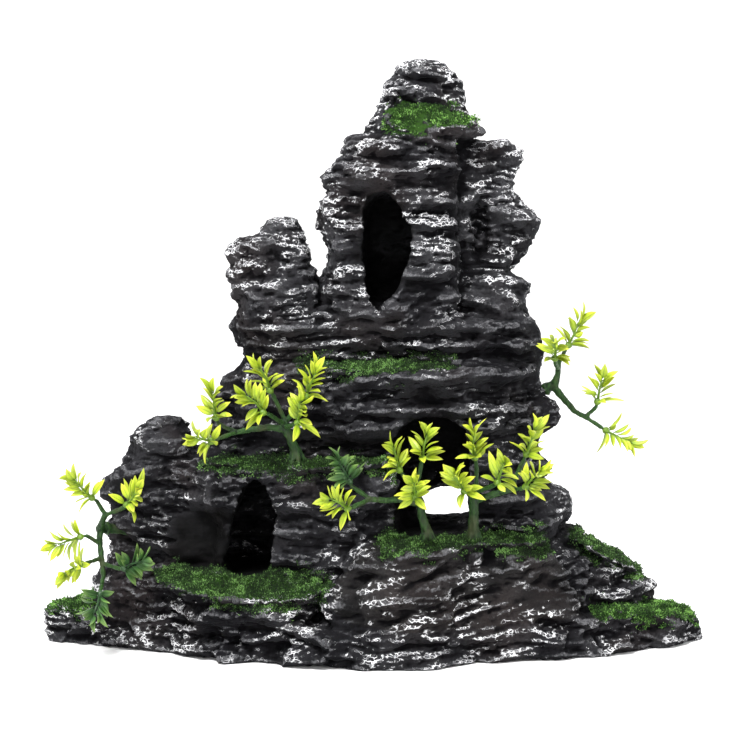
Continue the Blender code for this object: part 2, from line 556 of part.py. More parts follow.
def make_plant(name, peg, limbs, whorls, hosts, colours):
    """A plug-in plant: a branching trunk on a peg, with a leaf whorl on the end of each twig.

    The peg is (point on the rock, direction out of the socket). Each limb is a path of
    (x, y, z, radius). Each whorl is (centre, axis, leaf count, point where its twig starts).
    """
    foot, outward = Vector(peg[0]), Vector(peg[1]).normalized()
    mesh_data = bmesh.new()
    root = [(*(foot - outward * PEG_LENGTH), PEG_RADIUS), (*(foot + outward * 1.4), PEG_RADIUS),
            (*(foot + outward * 2.4), PEG_RADIUS + ROOT_FLARE)]
    tube(mesh_data, root + limbs[0], 8)
    trunk = add_object(name + "_trunk", mesh_data)
    finish(trunk, BARK, 0.6)

    grown = bmesh.new()
    taken = []
    for limb in limbs[1:]:
        tube(grown, limb, 6)
    for limb in limbs:
        taken += [Vector(a[:3]).lerp(Vector(b[:3]), t / 4) for a, b in zip(limb, limb[1:]) for t in range(5)]
    for centre, axis, _, start in whorls:
        hub, out = Vector(centre), Vector(axis).normalized()
        pin = hub - out * (PIN_LENGTH - 1.0)
        tube(grown, [(*start, TWIG_RADIUS), (*(pin - out * 1.3), TWIG_RADIUS - 0.05), (*pin, PIN_RADIUS),
                     (*(pin + out * PIN_LENGTH), PIN_RADIUS)], 5)
    combine(trunk, add_object(name + "_limbs", grown), "UNION")

    for host in hosts:
        hole = bmesh.new()
        tube(hole, [(*(foot - outward * (PEG_LENGTH + GAP)), PEG_RADIUS + GAP),
                    (*(foot + outward * SOCKET_REACH), PEG_RADIUS + GAP)], 12)
        combine(host, add_object(name + "_socket_" + host.name, hole), "DIFFERENCE")

    for number, (centre, axis, leaves, _) in enumerate(whorls, 1):
        place, probes = aim_whorl(centre, axis, leaves, taken)
        taken += probes
        whorl = add_object(name + "_whorl_" + str(number), whorl_mesh(leaves))
        scaled = place.copy()
        scaled.translation = place.translation * MM
        whorl.matrix_world = scaled
        finish(whorl, colours[(number - 1) % len(colours)], 0.5)
    return trunk


def make_plants(rocks, moss):
    """The tree on the terrace, the pair on the boulder, the vine on the left and the right-hand branch."""
    make_plant(
        "terrace_tree", ((-27.0, -18.8, TERRACE_TOP), (0, 0, 1)),
        [[(-27.6, -19, 75, 1.9), (-29, -20, 79, 1.6), (-31, -21, 83.2, 1.7), (-31, -22, 87, 1.0)],
         [(-30, -21, 82.4, 1.4), (-37, -22.5, 83.6, 1.2), (-44, -24.5, 82.8, 1.1), (-49, -27, 82.2, 0.9)]],
        [((-36, -25, 97), (-0.45, -0.35, 0.82), 6, (-31, -22, 86)),
         ((-23.5, -25, 95), (0.55, -0.35, 0.75), 6, (-31, -22, 85)),
         ((-38, -33, 90), (-0.7, -0.6, 0.3), 5, (-31, -22, 84.5)),
         ((-26, -33, 86.5), (0.4, -0.8, 0.3), 5, (-31, -21.5, 83.5)),
         ((-55, -26, 87.5), (-0.2, -0.35, 0.9), 5, (-48, -26.5, 82.2)),
         ((-56, -34, 80), (-0.7, -0.6, -0.25), 6, (-48.5, -27, 82.2))],
        [rocks["left_cave_rock"], moss["terrace_moss"]], (LEAF,))
    make_plant(
        "front_left_tree", ((19.7, -25.0, PLATEAU_TOP), (0, 0, 1)),
        [[(19.2, -25.4, 46.5, 1.9), (17.6, -26, 52, 1.5), (16.8, -27, 57.6, 1.6), (15, -28, 62, 1.0)],
         [(16.8, -26.8, 56.6, 1.4), (10.5, -29.4, 58.8, 1.2), (4, -32, 58.9, 1.1), (-1.4, -34, 59.8, 0.9)]],
        [((-8, -36, 66.4), (-0.35, -0.4, 0.85), 6, (-0.8, -33.8, 59.8)),
         ((-8.6, -41.5, 57.6), (-0.75, -0.6, -0.1), 5, (-1, -34, 59.6)),
         ((9.5, -31, 69.6), (-0.5, -0.4, 0.8), 6, (15, -27.8, 61)),
         ((17.6, -29, 73.4), (0.2, -0.3, 0.9), 5, (15.2, -27.8, 61.4)),
         ((14.5, -37.5, 61), (-0.1, -0.85, 0.45), 5, (16.4, -27.4, 58.6))],
        [rocks["front_boulder"], moss["boulder_moss"]], (DARK_LEAF, LEAF, LEAF, LEAF, LEAF))
    make_plant(
        "front_right_tree", ((36.0, -20.6, PLATEAU_TOP), (0, 0, 1)),
        [[(36.0, -21, 46.5, 2.1), (36, -22.5, 52.4, 1.7), (36, -24, 58.2, 1.8), (37, -25.4, 63, 1.1)],
         [(36, -23.6, 57.4, 1.4), (43.4, -26.4, 60.4, 1.2), (49.4, -28.6, 62.4, 1.0)]],
        [((36, -28, 73.6), (-0.25, -0.35, 0.9), 7, (36.8, -25.4, 62.4)),
         ((32, -34, 62.5), (-0.5, -0.8, 0.3), 5, (36, -24.2, 58.6)),
         ((43.5, -36, 66), (0.2, -0.85, 0.5), 5, (37, -25, 61)),
         ((53.5, -33.5, 64), (0.6, -0.7, 0.4), 5, (49, -28.4, 62.2)),
         ((54, -29.5, 75), (0.35, -0.25, 0.9), 6, (48.6, -28.3, 62.2))],
        [rocks["front_boulder"], moss["boulder_moss"]], (LEAF,))
    make_plant(
        "left_vine", ((-95.6, 2.0, 43.0), (-0.93, -0.34, 0.14)),
        [[(-98.8, 0.4, 43.2, 1.7), (-100, -2.4, 43.6, 1.6), (-98.6, -5.4, 46.4, 1.3), (-97, -7.6, 50.2, 1.1)],
         [(-99.6, -2.2, 44.4, 1.4), (-99.8, -4.4, 40, 1.2), (-98.6, -7.6, 33.2, 1.1),
          (-97.8, -9.6, 26.6, 0.9)]],
        [((-101.5, -10.5, 56.5), (-0.7, -0.4, 0.6), 6, (-97.2, -7.4, 50)),
         ((-88.5, -13.5, 54.5), (0.45, -0.7, 0.55), 6, (-97, -7.2, 49.6)),
         ((-106, -9.5, 42), (-0.85, -0.5, -0.1), 5, (-99.4, -5, 38.6)),
         ((-104.5, -15.5, 33), (-0.6, -0.8, -0.1), 6, (-98.8, -7.4, 33.8)),
         ((-89.5, -15, 31.5), (0.75, -0.6, 0.2), 5, (-98.4, -8, 32)),
         ((-98, -17, 22.5), (0.0, -0.8, -0.6), 6, (-97.8, -9.6, 27.2))],
        [rocks["left_cave_rock"]], (LEAF, LEAF, LEAF, LEAF, DARK_LEAF, DARK_LEAF))
    make_plant(
        "right_branch", ((61.5, 5.0, 94.0), (0.975, -0.17, 0.14)),
        [[(64.6, 4.2, 95.4, 1.8), (66.8, 3.6, 96.2, 1.7), (67.8, 2.8, 100, 1.1), (68, 2, 104.6, 0.9)],
         [(66.2, 3.8, 95.6, 1.5), (69.8, 2.6, 91.4, 1.3), (74, 1.4, 86.6, 1.1), (78.2, 0.4, 84.4, 0.9)]],
        [((71.5, 1, 111), (0.5, 0.0, 0.85), 5, (68, 2.2, 104)),
         ((65.6, -9, 107), (-0.1, -0.6, 0.7), 5, (67.9, 2.2, 102)),
         ((82, -1.5, 90.5), (0.2, -0.3, 0.9), 5, (77.8, 0.5, 84.5)),
         ((85.5, 1.0, 79.5), (0.8, 0.1, -0.6), 5, (78, 0.4, 84.4))],
        [rocks["middle_tier_rock"]], (LEAF,))


def main():
    remove_everything()
    made = [make_base_slab(), make_left_cave_rock(), make_center_rock(), make_front_boulder(),
            make_right_steps_rock(), make_middle_tier_rock(), make_upper_tier_rock(),
            make_left_spire_rock(), make_tower_rock(), make_tower_rear_column()]
    rocks = {casting.name: casting for casting in made}
    for casting in made:
        finish(casting, PALE_ROCK if casting.name == "front_boulder" else ROCK, 0.8)
    cut_arch(rocks["center_rock"], rocks["middle_tier_rock"])
    moss = make_moss(rocks)
    make_plants(rocks, moss)


main()
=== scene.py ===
import json
import math

import bpy
import numpy as np
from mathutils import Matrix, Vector
from mathutils.bvhtree import BVHTree


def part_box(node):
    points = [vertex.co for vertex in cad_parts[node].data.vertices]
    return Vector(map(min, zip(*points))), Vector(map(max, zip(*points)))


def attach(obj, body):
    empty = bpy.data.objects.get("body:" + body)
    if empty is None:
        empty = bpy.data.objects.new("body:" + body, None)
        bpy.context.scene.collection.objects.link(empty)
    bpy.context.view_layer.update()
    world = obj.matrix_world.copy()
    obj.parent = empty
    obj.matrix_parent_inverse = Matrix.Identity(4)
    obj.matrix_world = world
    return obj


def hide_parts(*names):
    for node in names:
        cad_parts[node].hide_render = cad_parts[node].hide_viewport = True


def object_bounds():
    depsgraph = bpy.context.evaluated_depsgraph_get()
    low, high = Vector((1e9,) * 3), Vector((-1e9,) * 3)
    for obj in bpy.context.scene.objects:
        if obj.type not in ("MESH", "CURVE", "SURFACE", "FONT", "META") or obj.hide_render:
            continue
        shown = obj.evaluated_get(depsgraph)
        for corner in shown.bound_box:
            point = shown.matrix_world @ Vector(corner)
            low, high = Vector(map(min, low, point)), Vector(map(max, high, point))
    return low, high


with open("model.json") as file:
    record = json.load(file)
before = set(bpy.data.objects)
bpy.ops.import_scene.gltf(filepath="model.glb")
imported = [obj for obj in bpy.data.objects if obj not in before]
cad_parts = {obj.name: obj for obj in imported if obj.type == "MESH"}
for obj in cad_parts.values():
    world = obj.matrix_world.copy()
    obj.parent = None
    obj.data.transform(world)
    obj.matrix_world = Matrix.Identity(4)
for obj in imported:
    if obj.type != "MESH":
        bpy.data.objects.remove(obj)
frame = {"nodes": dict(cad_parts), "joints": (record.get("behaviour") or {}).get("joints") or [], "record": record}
CAD_BOX = [list(corner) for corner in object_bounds()]

# Lengths in this script are in millimetres, and MM turns them into Blender's metres.
MM = 0.001

ROCKS = ("base_slab", "left_cave_rock", "center_rock", "front_boulder", "right_steps_rock",
         "middle_tier_rock", "upper_tier_rock", "left_spire_rock", "tower_rock", "tower_rear_column")
BOULDER = "front_boulder"
MOSS_BEDS = ("terrace_moss", "cave_floor_moss", "boulder_moss", "upper_ledge_moss",
             "summit_moss", "left_end_moss", "right_shelf_moss", "step_moss")
BRIGHT_MOSS = ("summit_moss", "right_shelf_moss", "left_end_moss")
CAVES = ("upper_cave", "left_cave_mouth", "left_cave_chamber", "arch", "left_recess")
PLANTS = ("terrace_tree", "front_left_tree", "front_right_tree", "left_vine", "right_branch")

# Rounded lumps (centre, radii) that fill the nook between the boulder and the left-hand cliff.
FILLERS = [((-1.0, -22.0, 32.0), (9.5, 11.5, 10.5)), ((-8.0, -25.0, 20.0), (10.0, 9.0, 9.0))]

# The stone is remeshed twice: for the ledges, and again for its fine grain.
COARSE_VOXEL = 1.0
ROCK_VOXEL = 0.56

# How far ledges and clefts stand in or out, and the size of a ledge along X, Y and Z.
LEDGE_DEPTH, LEDGE_SIZE = 7.4, (27, 27, 10.5)
THIN_LEDGE_DEPTH, THIN_LEDGE_SIZE = 2.4, (14, 14, 4.2)
BOULDER_LEDGE_DEPTH, BOULDER_LEDGE_SIZE = 5.0, (34, 34, 11)
CLEFT_DEPTH = 2.4

MOSS_FRINGE = 7.5
# How patchy a bed is, and how full a place must be to grow moss; the rest are thick.
MOSS_PATCHES = {"summit_moss": (0.9, 0.78), "right_shelf_moss": (0.7, 0.42), "step_moss": (0.8, 0.50),
                "upper_ledge_moss": (0.6, 0.34)}
MOSS_HEIGHT = 1.5
TUFT_LENGTHS, TUFT_WIDTHS = (0.35, 1.0), (0.14, 0.30)

# A trunk stands on a peg in the stone, and the stone near it stays plain so that it pulls out.
TRUNK_VOXEL = 0.36
PLANT_ROOM = 6.0
PEG_DEPTH = 8.0


# ---------------------------------------------------------------- numbers, noise and meshes

_random = np.random.RandomState(11)
GRADIENTS = _random.normal(size=(256, 3))
GRADIENTS /= np.linalg.norm(GRADIENTS, axis=1)[:, None]
SHUFFLE = _random.permutation(256)


def noise(points, size, seed):
    """Smooth gradient noise, about -1 to 1, with lumps about `size` across (a number or three)."""
    place = points / np.asarray(size, float) + seed * 17.31
    cell = np.floor(place).astype(np.int64)
    inside = place - cell
    fade = inside ** 3 * (inside * (inside * 6 - 15) + 10)
    total = np.zeros(len(points))
    for corner in np.ndindex(2, 2, 2):
        x, y, z = (cell[:, axis] + corner[axis] for axis in range(3))
        pick = SHUFFLE[(SHUFFLE[(SHUFFLE[x & 255] + y) & 255] + z) & 255]
        slope = np.einsum("ij,ij->i", GRADIENTS[pick], inside - corner)
        weight = np.prod([fade[:, a] if corner[a] else 1 - fade[:, a] for a in range(3)], axis=0)
        total += slope * weight
    return total * 1.6


def fractal(points, size, seed, octaves=3):
    """Noise with finer and weaker copies of itself on top."""
    size = np.asarray(size, float)
    layers = [noise(points, size / 2 ** n, seed + n) / 2 ** n for n in range(octaves)]
    return sum(layers)


def ridged(points, size, seed, octaves=3):
    """Sharp crests with rounded hollows between them, 0 in the hollows to about 1 on the crests."""
    size = np.asarray(size, float)
    layers = [(1 - np.abs(noise(points, size / 2 ** n, seed + n)) * 1.5) / 2 ** n for n in range(octaves)]
    return np.clip(sum(layers) / 1.6, 0, 1.2)


def step(low, high, value):
    """A smooth step from 0 below `low` to 1 above `high`."""
    t = np.clip((value - low) / (high - low), 0, 1)
    return t * t * (3 - 2 * t)


def arrays(mesh_data):
    """A mesh's points in millimetres, and its faces as one array (all with the same corner count)."""
    points = np.empty(len(mesh_data.vertices) * 3)
    mesh_data.vertices.foreach_get("co", points)
    loops = np.empty(len(mesh_data.loops), np.int64)
    mesh_data.loops.foreach_get("vertex_index", loops)
    return points.reshape(-1, 3) / MM, loops.reshape(len(mesh_data.polygons), -1)


def merged(points, faces):
    """The same mesh with points that share a place made one."""
    keys = np.round(points * 1000).astype(np.int64)
    _, first, back = np.unique(keys, axis=0, return_index=True, return_inverse=True)
    return points[first], back.reshape(-1)[faces]


def cad_arrays(name):
    return merged(*arrays(frame["nodes"][name].data))


def unit(direction):
    return np.asarray(direction) / np.linalg.norm(direction)


def stacked(parts):
    """Several (points, faces) meshes as one."""
    starts = np.cumsum([0] + [len(points) for points, _ in parts[:-1]])
    return (np.concatenate([points for points, _ in parts]),
            np.concatenate([faces + start for (_, faces), start in zip(parts, starts)]))


def new_mesh(name, points, faces):
    """A Blender mesh from points in millimetres."""
    mesh_data = bpy.data.meshes.new(name)
    mesh_data.vertices.add(len(points))
    mesh_data.vertices.foreach_set("co", (points * MM).ravel())
    sides = faces.shape[1]
    mesh_data.loops.add(faces.size)
    mesh_data.loops.foreach_set("vertex_index", faces.ravel().astype(np.int32))
    mesh_data.polygons.add(len(faces))
    mesh_data.polygons.foreach_set("loop_start", np.arange(0, faces.size, sides, dtype=np.int32))
    mesh_data.update(calc_edges=True)
    mesh_data.polygons.foreach_set("use_smooth", np.ones(len(faces), bool))
    return mesh_data


def remeshed(points, faces, voxel, smoothing=0):
    """The surface around a closed mesh as even quads, `voxel` mm across."""
    thing = bpy.data.objects.new("remesh", new_mesh("remesh", points, faces))
    bpy.context.scene.collection.objects.link(thing)
    change = thing.modifiers.new("voxels", "REMESH")
    change.mode = "VOXEL"
    change.voxel_size = voxel * MM
    if smoothing:
        smooth = thing.modifiers.new("smooth", "SMOOTH")
        smooth.factor = 0.5
        smooth.iterations = smoothing
    shown = thing.evaluated_get(bpy.context.evaluated_depsgraph_get())
    result = arrays(shown.to_mesh())
    shown.to_mesh_clear()
    old = thing.data
    bpy.data.objects.remove(thing)
    bpy.data.meshes.remove(old)
    return result


def edges_of(faces):
    """Each pair of neighbouring points, once."""
    pairs = np.concatenate([faces[:, [k, (k + 1) % faces.shape[1]]] for k in range(faces.shape[1])])
    pairs = np.sort(pairs, axis=1)
    span = int(faces.max()) + 1
    keys = np.unique(pairs[:, 0] * span + pairs[:, 1])
    return np.stack([keys // span, keys % span], axis=1)


def relaxed(values, edges, rounds):
    """Values on points, averaged with their neighbours a number of times."""
    flat = values.reshape(len(values), -1).astype(float)
    count = np.bincount(edges.ravel(), minlength=len(flat))[:, None] + 1.0
    for _ in range(rounds):
        total = flat.copy()
        for column in range(flat.shape[1]):
            total[:, column] += np.bincount(edges[:, 0], flat[edges[:, 1], column], len(flat))
            total[:, column] += np.bincount(edges[:, 1], flat[edges[:, 0], column], len(flat))
        flat = total / count
    return flat.reshape(values.shape)


def normals_of(points, faces):
    """A unit normal for each point."""
    across = np.cross(points[faces[:, 2]] - points[faces[:, 0]],
                      points[faces[:, -1]] - points[faces[:, 1]])
    total = np.zeros_like(points)
    for corner in range(faces.shape[1]):
        for axis in range(3):
            total[:, axis] += np.bincount(faces[:, corner], across[:, axis], len(points))
    return total / np.maximum(np.linalg.norm(total, axis=1), 1e-9)[:, None]


def distances(points, tree, limit):
    """How far each point is from a surface, up to `limit` mm."""
    result = np.full(len(points), float(limit))
    for index, point in enumerate(points):
        hit = tree.find_nearest(point, limit)
        if hit[0] is not None:
            result[index] = hit[3]
    return result


def surface_tree(points, faces):
    return BVHTree.FromPolygons(points.tolist(), faces.tolist())


def near_box(points, low, high, margin):
    return np.all((points > low - margin) & (points < high + margin), axis=1)


# ---------------------------------------------------------------- node materials

class Shader:
    """Short calls that build one procedural material around a Principled shader."""

    def __init__(self, name):
        self.material = bpy.data.materials.new(name)
        self.material.use_nodes = True
        self.tree = self.material.node_tree
        self.shader = self.tree.nodes["Principled BSDF"]
        place = self.tree.nodes.new("ShaderNodeTexCoord")
        self.place = self.vector("MULTIPLY", place.outputs["Object"], (1 / MM,) * 3)

    def node(self, kind, *inputs, **settings):
        made = self.tree.nodes.new(kind)
        for name, value in settings.items():
            setattr(made, name, value)
        for index, value in enumerate(inputs):
            self.feed(made.inputs[index], value)
        return made

    def feed(self, socket, value):
        if isinstance(value, bpy.types.NodeSocket):
            self.tree.links.new(value, socket)
        else:
            socket.default_value = value

    def vector(self, operation, *inputs):
        return self.node("ShaderNodeVectorMath", *inputs, operation=operation).outputs[0]

    def math(self, operation, *inputs):
        return self.node("ShaderNodeMath", *inputs, operation=operation).outputs[0]

    def times(self, first, second):
        return self.math("MULTIPLY", first, second)

    def plus(self, first, second):
        return self.math("ADD", first, second)

    def minus(self, first, second):
        return self.math("SUBTRACT", first, second)

    def most(self, first, second):
        return self.math("MAXIMUM", first, second)

    def noise(self, size, detail=2.0, roughness=0.5, stretch=(1, 1, 1)):
        """Noise of 0 to 1 with lumps about `size` mm across, longer along an axis by its stretch."""
        scale = tuple(1 / (size * s) for s in stretch)
        made = self.node("ShaderNodeTexNoise")
        self.feed(made.inputs["Vector"], self.vector("MULTIPLY", self.place, scale))
        for name, value in (("Scale", 1.0), ("Detail", detail), ("Roughness", roughness)):
            self.feed(made.inputs[name], value)
        return made.outputs["Fac"]

    def warped(self, size, amount):
        """The place on the surface, pushed about by noise."""
        made = self.node("ShaderNodeTexNoise")
        self.feed(made.inputs["Vector"], self.vector("MULTIPLY", self.place, (1 / size,) * 3))
        self.feed(made.inputs["Scale"], 1.0)
        push = self.vector("SUBTRACT", made.outputs["Color"], (0.5, 0.5, 0.5))
        return self.vector("ADD", self.place, self.vector("MULTIPLY", push, (amount,) * 3))

    def cell_rims(self, size, stretch, place):
        """The distance to the nearest edge of a pattern of cells about `size` mm across."""
        scale = tuple(1 / (size * s) for s in stretch)
        made = self.node("ShaderNodeTexVoronoi", feature="DISTANCE_TO_EDGE")
        self.feed(made.inputs["Vector"], self.vector("MULTIPLY", place, scale))
        self.feed(made.inputs["Scale"], 1.0)
        return made.outputs["Distance"]

    def between(self, value, low, high):
        """A smooth step of 0 to 1 as value goes from low to high."""
        made = self.node("ShaderNodeMapRange", interpolation_type="SMOOTHSTEP", clamp=True)
        for name, number in (("Value", value), ("From Min", low), ("From Max", high)):
            self.feed(made.inputs[name], number)
        return made.outputs["Result"]

    def spread(self, value, low, high):
        """A value of 0 to 1 spread evenly over low to high."""
        made = self.node("ShaderNodeMapRange", clamp=True)
        for name, number in (("Value", value), ("To Min", low), ("To Max", high)):
            self.feed(made.inputs[name], number)
        return made.outputs["Result"]

    def mix(self, factor, below, above):
        """The colour below, covered by the colour above as the factor goes from 0 to 1."""
        made = self.node("ShaderNodeMix", data_type="RGBA")
        self.feed(made.inputs["Factor"], factor)
        for name, value in (("A", below), ("B", above)):
            socket = [s for s in made.inputs if s.name == name and s.type == "RGBA"][0]
            self.feed(socket, (*value, 1) if isinstance(value, tuple) else value)
        return [s for s in made.outputs if s.type == "RGBA"][0]

    def attribute(self, name):
        return self.node("ShaderNodeAttribute", attribute_name=name).outputs["Fac"]

    def line(self, value, half_width):
        """A thin wandering line: 1 where a noise value crosses its middle, 0 half a width away."""
        off = self.math("ABSOLUTE", self.minus(value, 0.5))
        return self.minus(1.0, self.between(off, half_width * 0.35, half_width))

    def bump(self, height, distance):
        """The shading of a relief that is `distance` mm high where height is 1."""
        made = self.node("ShaderNodeBump")
        self.feed(made.inputs["Height"], height)
        self.feed(made.inputs["Distance"], distance * MM)
        self.feed(made.inputs["Strength"], 1.0)
        return made.outputs["Normal"]

    def done(self, colour, roughness, normal, specular):
        for name, value in (("Base Color", colour), ("Roughness", roughness), ("Normal", normal),
                            ("Specular IOR Level", specular)):
            self.feed(self.shader.inputs[name], value)
        return self.material


# The grey is dry-brushed dust and also a painted highlight on the crests; the two blacks are painted shade in the
# hollows and inside the caves, partly the stone's dark wash and bare resin.
DUST_AND_HIGHLIGHT_GREY = (0.120, 0.120, 0.127)
CHALK_WHITE = (0.86, 0.86, 0.88)
WARM_BROWN = (0.026, 0.020, 0.019)
HOLLOW_SHADE_BLACK = (0.0022, 0.0022, 0.0026)
CAVE_SHADE_BLACK = (0.003, 0.003, 0.003)


def rock_material(name, dark, light, net_size, stroke):
    """Painted resin stone: charcoal with painted shade that blackens its hollows (partly the stone's dark wash),
    dusty crests with a painted highlight, and thin white strokes.

    Crackle cells are net_size mm across, and stroke is the half width of the white lines.
    """
    s = Shader(name)
    crest = s.attribute("crest")
    hollow_shade = s.attribute("hollow_shade")
    green = s.attribute("moss")
    grain = s.noise(0.9, 4.0, 0.65)
    height_above = s.node("ShaderNodeSeparateXYZ", s.place).outputs["Z"]
    tall = s.between(height_above, 120.0, 148.0)
    foot = s.minus(1.0, s.between(height_above, 18.0, 42.0))
    pale = s.between(s.noise(19.0, 3.0), 0.34, 0.66)
    colour = s.mix(s.times(pale, s.spread(tall, 0.6, 1.0)), dark, light)
    warm = s.times(s.between(s.noise(34.0, 2.0), 0.5, 0.72), 0.5)
    colour = s.mix(warm, colour, WARM_BROWN)
    colour = s.mix(s.times(s.between(grain, 0.42, 0.75), 0.6), colour, (0.006, 0.006, 0.007))

    broken_edge = s.times(s.minus(s.noise(2.4, 4.0, 0.7), 0.5), 0.8)
    rough_crest = s.plus(crest, broken_edge)
    # Grey on the crests: dry-brushed dust, and also a painted highlight where light falls on them.
    rub_and_highlight = s.between(rough_crest, 0.34, 0.95)
    dust_and_highlight = s.times(rub_and_highlight, s.spread(s.between(s.noise(0.7, 3.0, 0.7), 0.38, 0.66), 0.25, 0.95))
    colour = s.mix(dust_and_highlight, colour, DUST_AND_HIGHLIGHT_GREY)

    warped = s.warped(2.2, 1.6)
    rim = s.cell_rims(net_size, (1.3, 1.3, 0.8), warped)
    thread = s.minus(1.0, s.between(rim, 0.02, 0.11))
    dusted = s.spread(s.most(tall, foot), -0.05, 0.06)
    chalky = s.between(s.plus(s.noise(20.0, 3.0, 0.6), dusted), 0.42, 0.64)
    ragged = s.between(s.plus(s.noise(6.0, 4.0, 0.7), s.spread(chalky, -0.10, 0.08)), 0.46, 0.60)
    reach = s.between(s.plus(crest, s.times(s.noise(3.4, 3.0), 0.5)), 0.46, 0.80)
    net = s.times(s.times(thread, ragged), s.times(reach, chalky))
    wander = s.plus(crest, s.times(s.minus(s.noise(3.0, 2.5, 0.55), 0.5), 1.1))
    outline = s.line(s.plus(wander, -0.08), stroke)
    broken = s.noise(4.5, 4.0, 0.75)
    broken = s.between(s.plus(broken, s.spread(chalky, -0.12, 0.08)), 0.44, 0.56)
    outline = s.times(outline, broken)
    fleck = s.between(s.noise(0.8, 3.0, 0.7), 0.52, 0.64)
    topmost = s.between(s.plus(rough_crest, s.spread(chalky, -0.2, 0.1)), 0.9, 1.2)
    streak = s.times(topmost, fleck)
    # Painted shade: the hollows go nearly black, partly the stone's dark wash.
    colour = s.mix(s.times(s.between(hollow_shade, 0.08, 0.7), 0.92), colour, HOLLOW_SHADE_BLACK)
    white = s.most(s.times(net, 0.9), s.times(streak, 0.45))
    white = s.most(white, s.times(outline, 0.9))
    colour = s.mix(white, colour, CHALK_WHITE)
    patch = s.plus(s.times(green, 0.6), s.times(s.noise(1.1, 4.0, 0.7), 0.9))
    speck = s.times(s.between(patch, 0.84, 1.0), s.between(green, 0.1, 0.4))
    leafy = s.mix(s.noise(2.5, 3.0), (0.005, 0.014, 0.003), (0.030, 0.075, 0.012))
    colour = s.mix(speck, colour, leafy)
    # Painted shade: the walls inside the caves go black, partly the dark bare resin.
    colour = s.mix(s.times(s.attribute("cave"), 0.9), colour, CAVE_SHADE_BLACK)

    pits = s.times(s.between(rim, 0.0, 0.4), -0.55)
    height = s.plus(s.times(grain, 0.5), s.times(pits, reach))
    height = s.plus(height, s.times(s.noise(0.35, 2.0), 0.25))
    roughness = s.spread(s.noise(1.6, 3.0), 0.66, 0.92)
    return s.done(colour, roughness, s.bump(height, 0.6), specular=0.035)


def moss_material(name, dark, middle, bright):
    """Flocked moss: every tuft has its own green, with painted shade darkening it towards its foot."""
    s = Shader(name)
    tone = s.attribute("tone")
    foot_shade = s.attribute("foot_shade")
    shade = s.plus(s.times(tone, 0.85), s.times(s.noise(6.0, 3.0), 0.3))
    colour = s.mix(s.between(shade, 0.2, 0.65), dark, middle)
    colour = s.mix(s.between(shade, 0.6, 1.0), colour, bright)
    # Painted shade: each tuft darkens towards its foot, where its neighbours shade it.
    colour = s.mix(s.times(foot_shade, 0.7), colour, (0.012, 0.022, 0.006))
    fibre = s.noise(0.3, 3.0, 0.6)
    colour = s.mix(s.times(fibre, 0.45), colour, dark)
    return s.done(colour, s.spread(fibre, 0.7, 0.95), s.bump(fibre, 0.12), specular=0.2)


def bark_material():
    """Moulded green bark with painted shade in its furrows and a painted highlight on its ridges, with a dull
    shine.
    """
    s = Shader("trunk")
    crest = s.attribute("crest")
    grain = s.noise(0.8, 4.0, 0.65, stretch=(1, 1, 3))
    # Painted shade: darker where the grain's relief sinks into furrows.
    colour = s.mix(s.between(grain, 0.3, 0.7), (0.002, 0.007, 0.002), (0.009, 0.033, 0.006))
    # Painted highlight: lighter green on the bark's ridges.
    colour = s.mix(s.times(s.between(crest, 0.45, 1.0), 0.45), colour, (0.04, 0.11, 0.018))
    colour = s.mix(s.between(s.noise(7.0, 2.0), 0.5, 0.75), colour, (0.030, 0.040, 0.014))
    return s.done(colour, s.spread(grain, 0.38, 0.62), s.bump(grain, 0.35), specular=0.22)


def leaf_material(name, base, blade, tip):
    """Soft plastic leaf: dark at the stem, a pale tip, a fine mid rib and side veins."""
    s = Shader(name)
    along = s.attribute("along")
    across = s.attribute("across")
    tone = s.attribute("tone")
    colour = s.mix(s.between(along, 0.0, 0.45), base, blade)
    colour = s.mix(s.times(s.between(along, 0.4, 1.0), 0.8), colour, tip)
    shade = s.plus(s.times(tone, 0.8), s.times(s.noise(1.8, 3.0), 0.5))
    colour = s.mix(s.times(s.between(shade, 0.25, 1.0), 0.42), colour, base)
    rib = s.minus(1.0, s.between(across, 0.04, 0.16))
    colour = s.mix(s.times(rib, 0.55), colour, base)
    slant = s.times(s.plus(along, s.times(across, -0.14)), 62.0)
    veins = s.between(s.math("SINE", slant), 0.35, 1.0)
    colour = s.mix(s.times(veins, 0.16), colour, base)
    height = s.plus(s.times(veins, -0.35), s.times(rib, -0.9))
    return s.done(colour, s.spread(s.noise(0.9, 2.0), 0.36, 0.52), s.bump(height, 0.06), specular=0.4)


def paper_material(name):
    """Pale matt studio paper with a faint tooth."""
    s = Shader(name)
    tooth = s.noise(2.0, 3.0)
    colour = s.mix(tooth, (0.86, 0.86, 0.86), (0.90, 0.90, 0.90))
    return s.done(colour, s.spread(tooth, 0.85, 0.95), s.bump(tooth, 0.02), specular=0.1)


# ---------------------------------------------------------------- pieces

def add_piece(name, points, faces, material, body, replaced, values=None, chart=None):
    """Put a finished piece in the scene: its mesh, point values, material, body and map, with the CAD parts it
    replaces hidden.

    The chart is a place on the piece's texture map for each corner of each face.
    """
    mesh_data = new_mesh(name, points, faces)
    if chart is not None:
        layer = mesh_data.uv_layers.new(name="OFBake")
        layer.data.foreach_set("uv", np.clip(chart, 0, 1).astype(np.float32).ravel())
    for key, numbers in (values or {}).items():
        layer = mesh_data.attributes.new(key, "FLOAT", "POINT")
        layer.data.foreach_set("value", np.asarray(numbers, np.float32))
    mesh_data.materials.append(material)
    piece = bpy.data.objects.new(name, mesh_data)
    bpy.context.scene.collection.objects.link(piece)
    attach(piece, body)
    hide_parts(*replaced)
    return piece


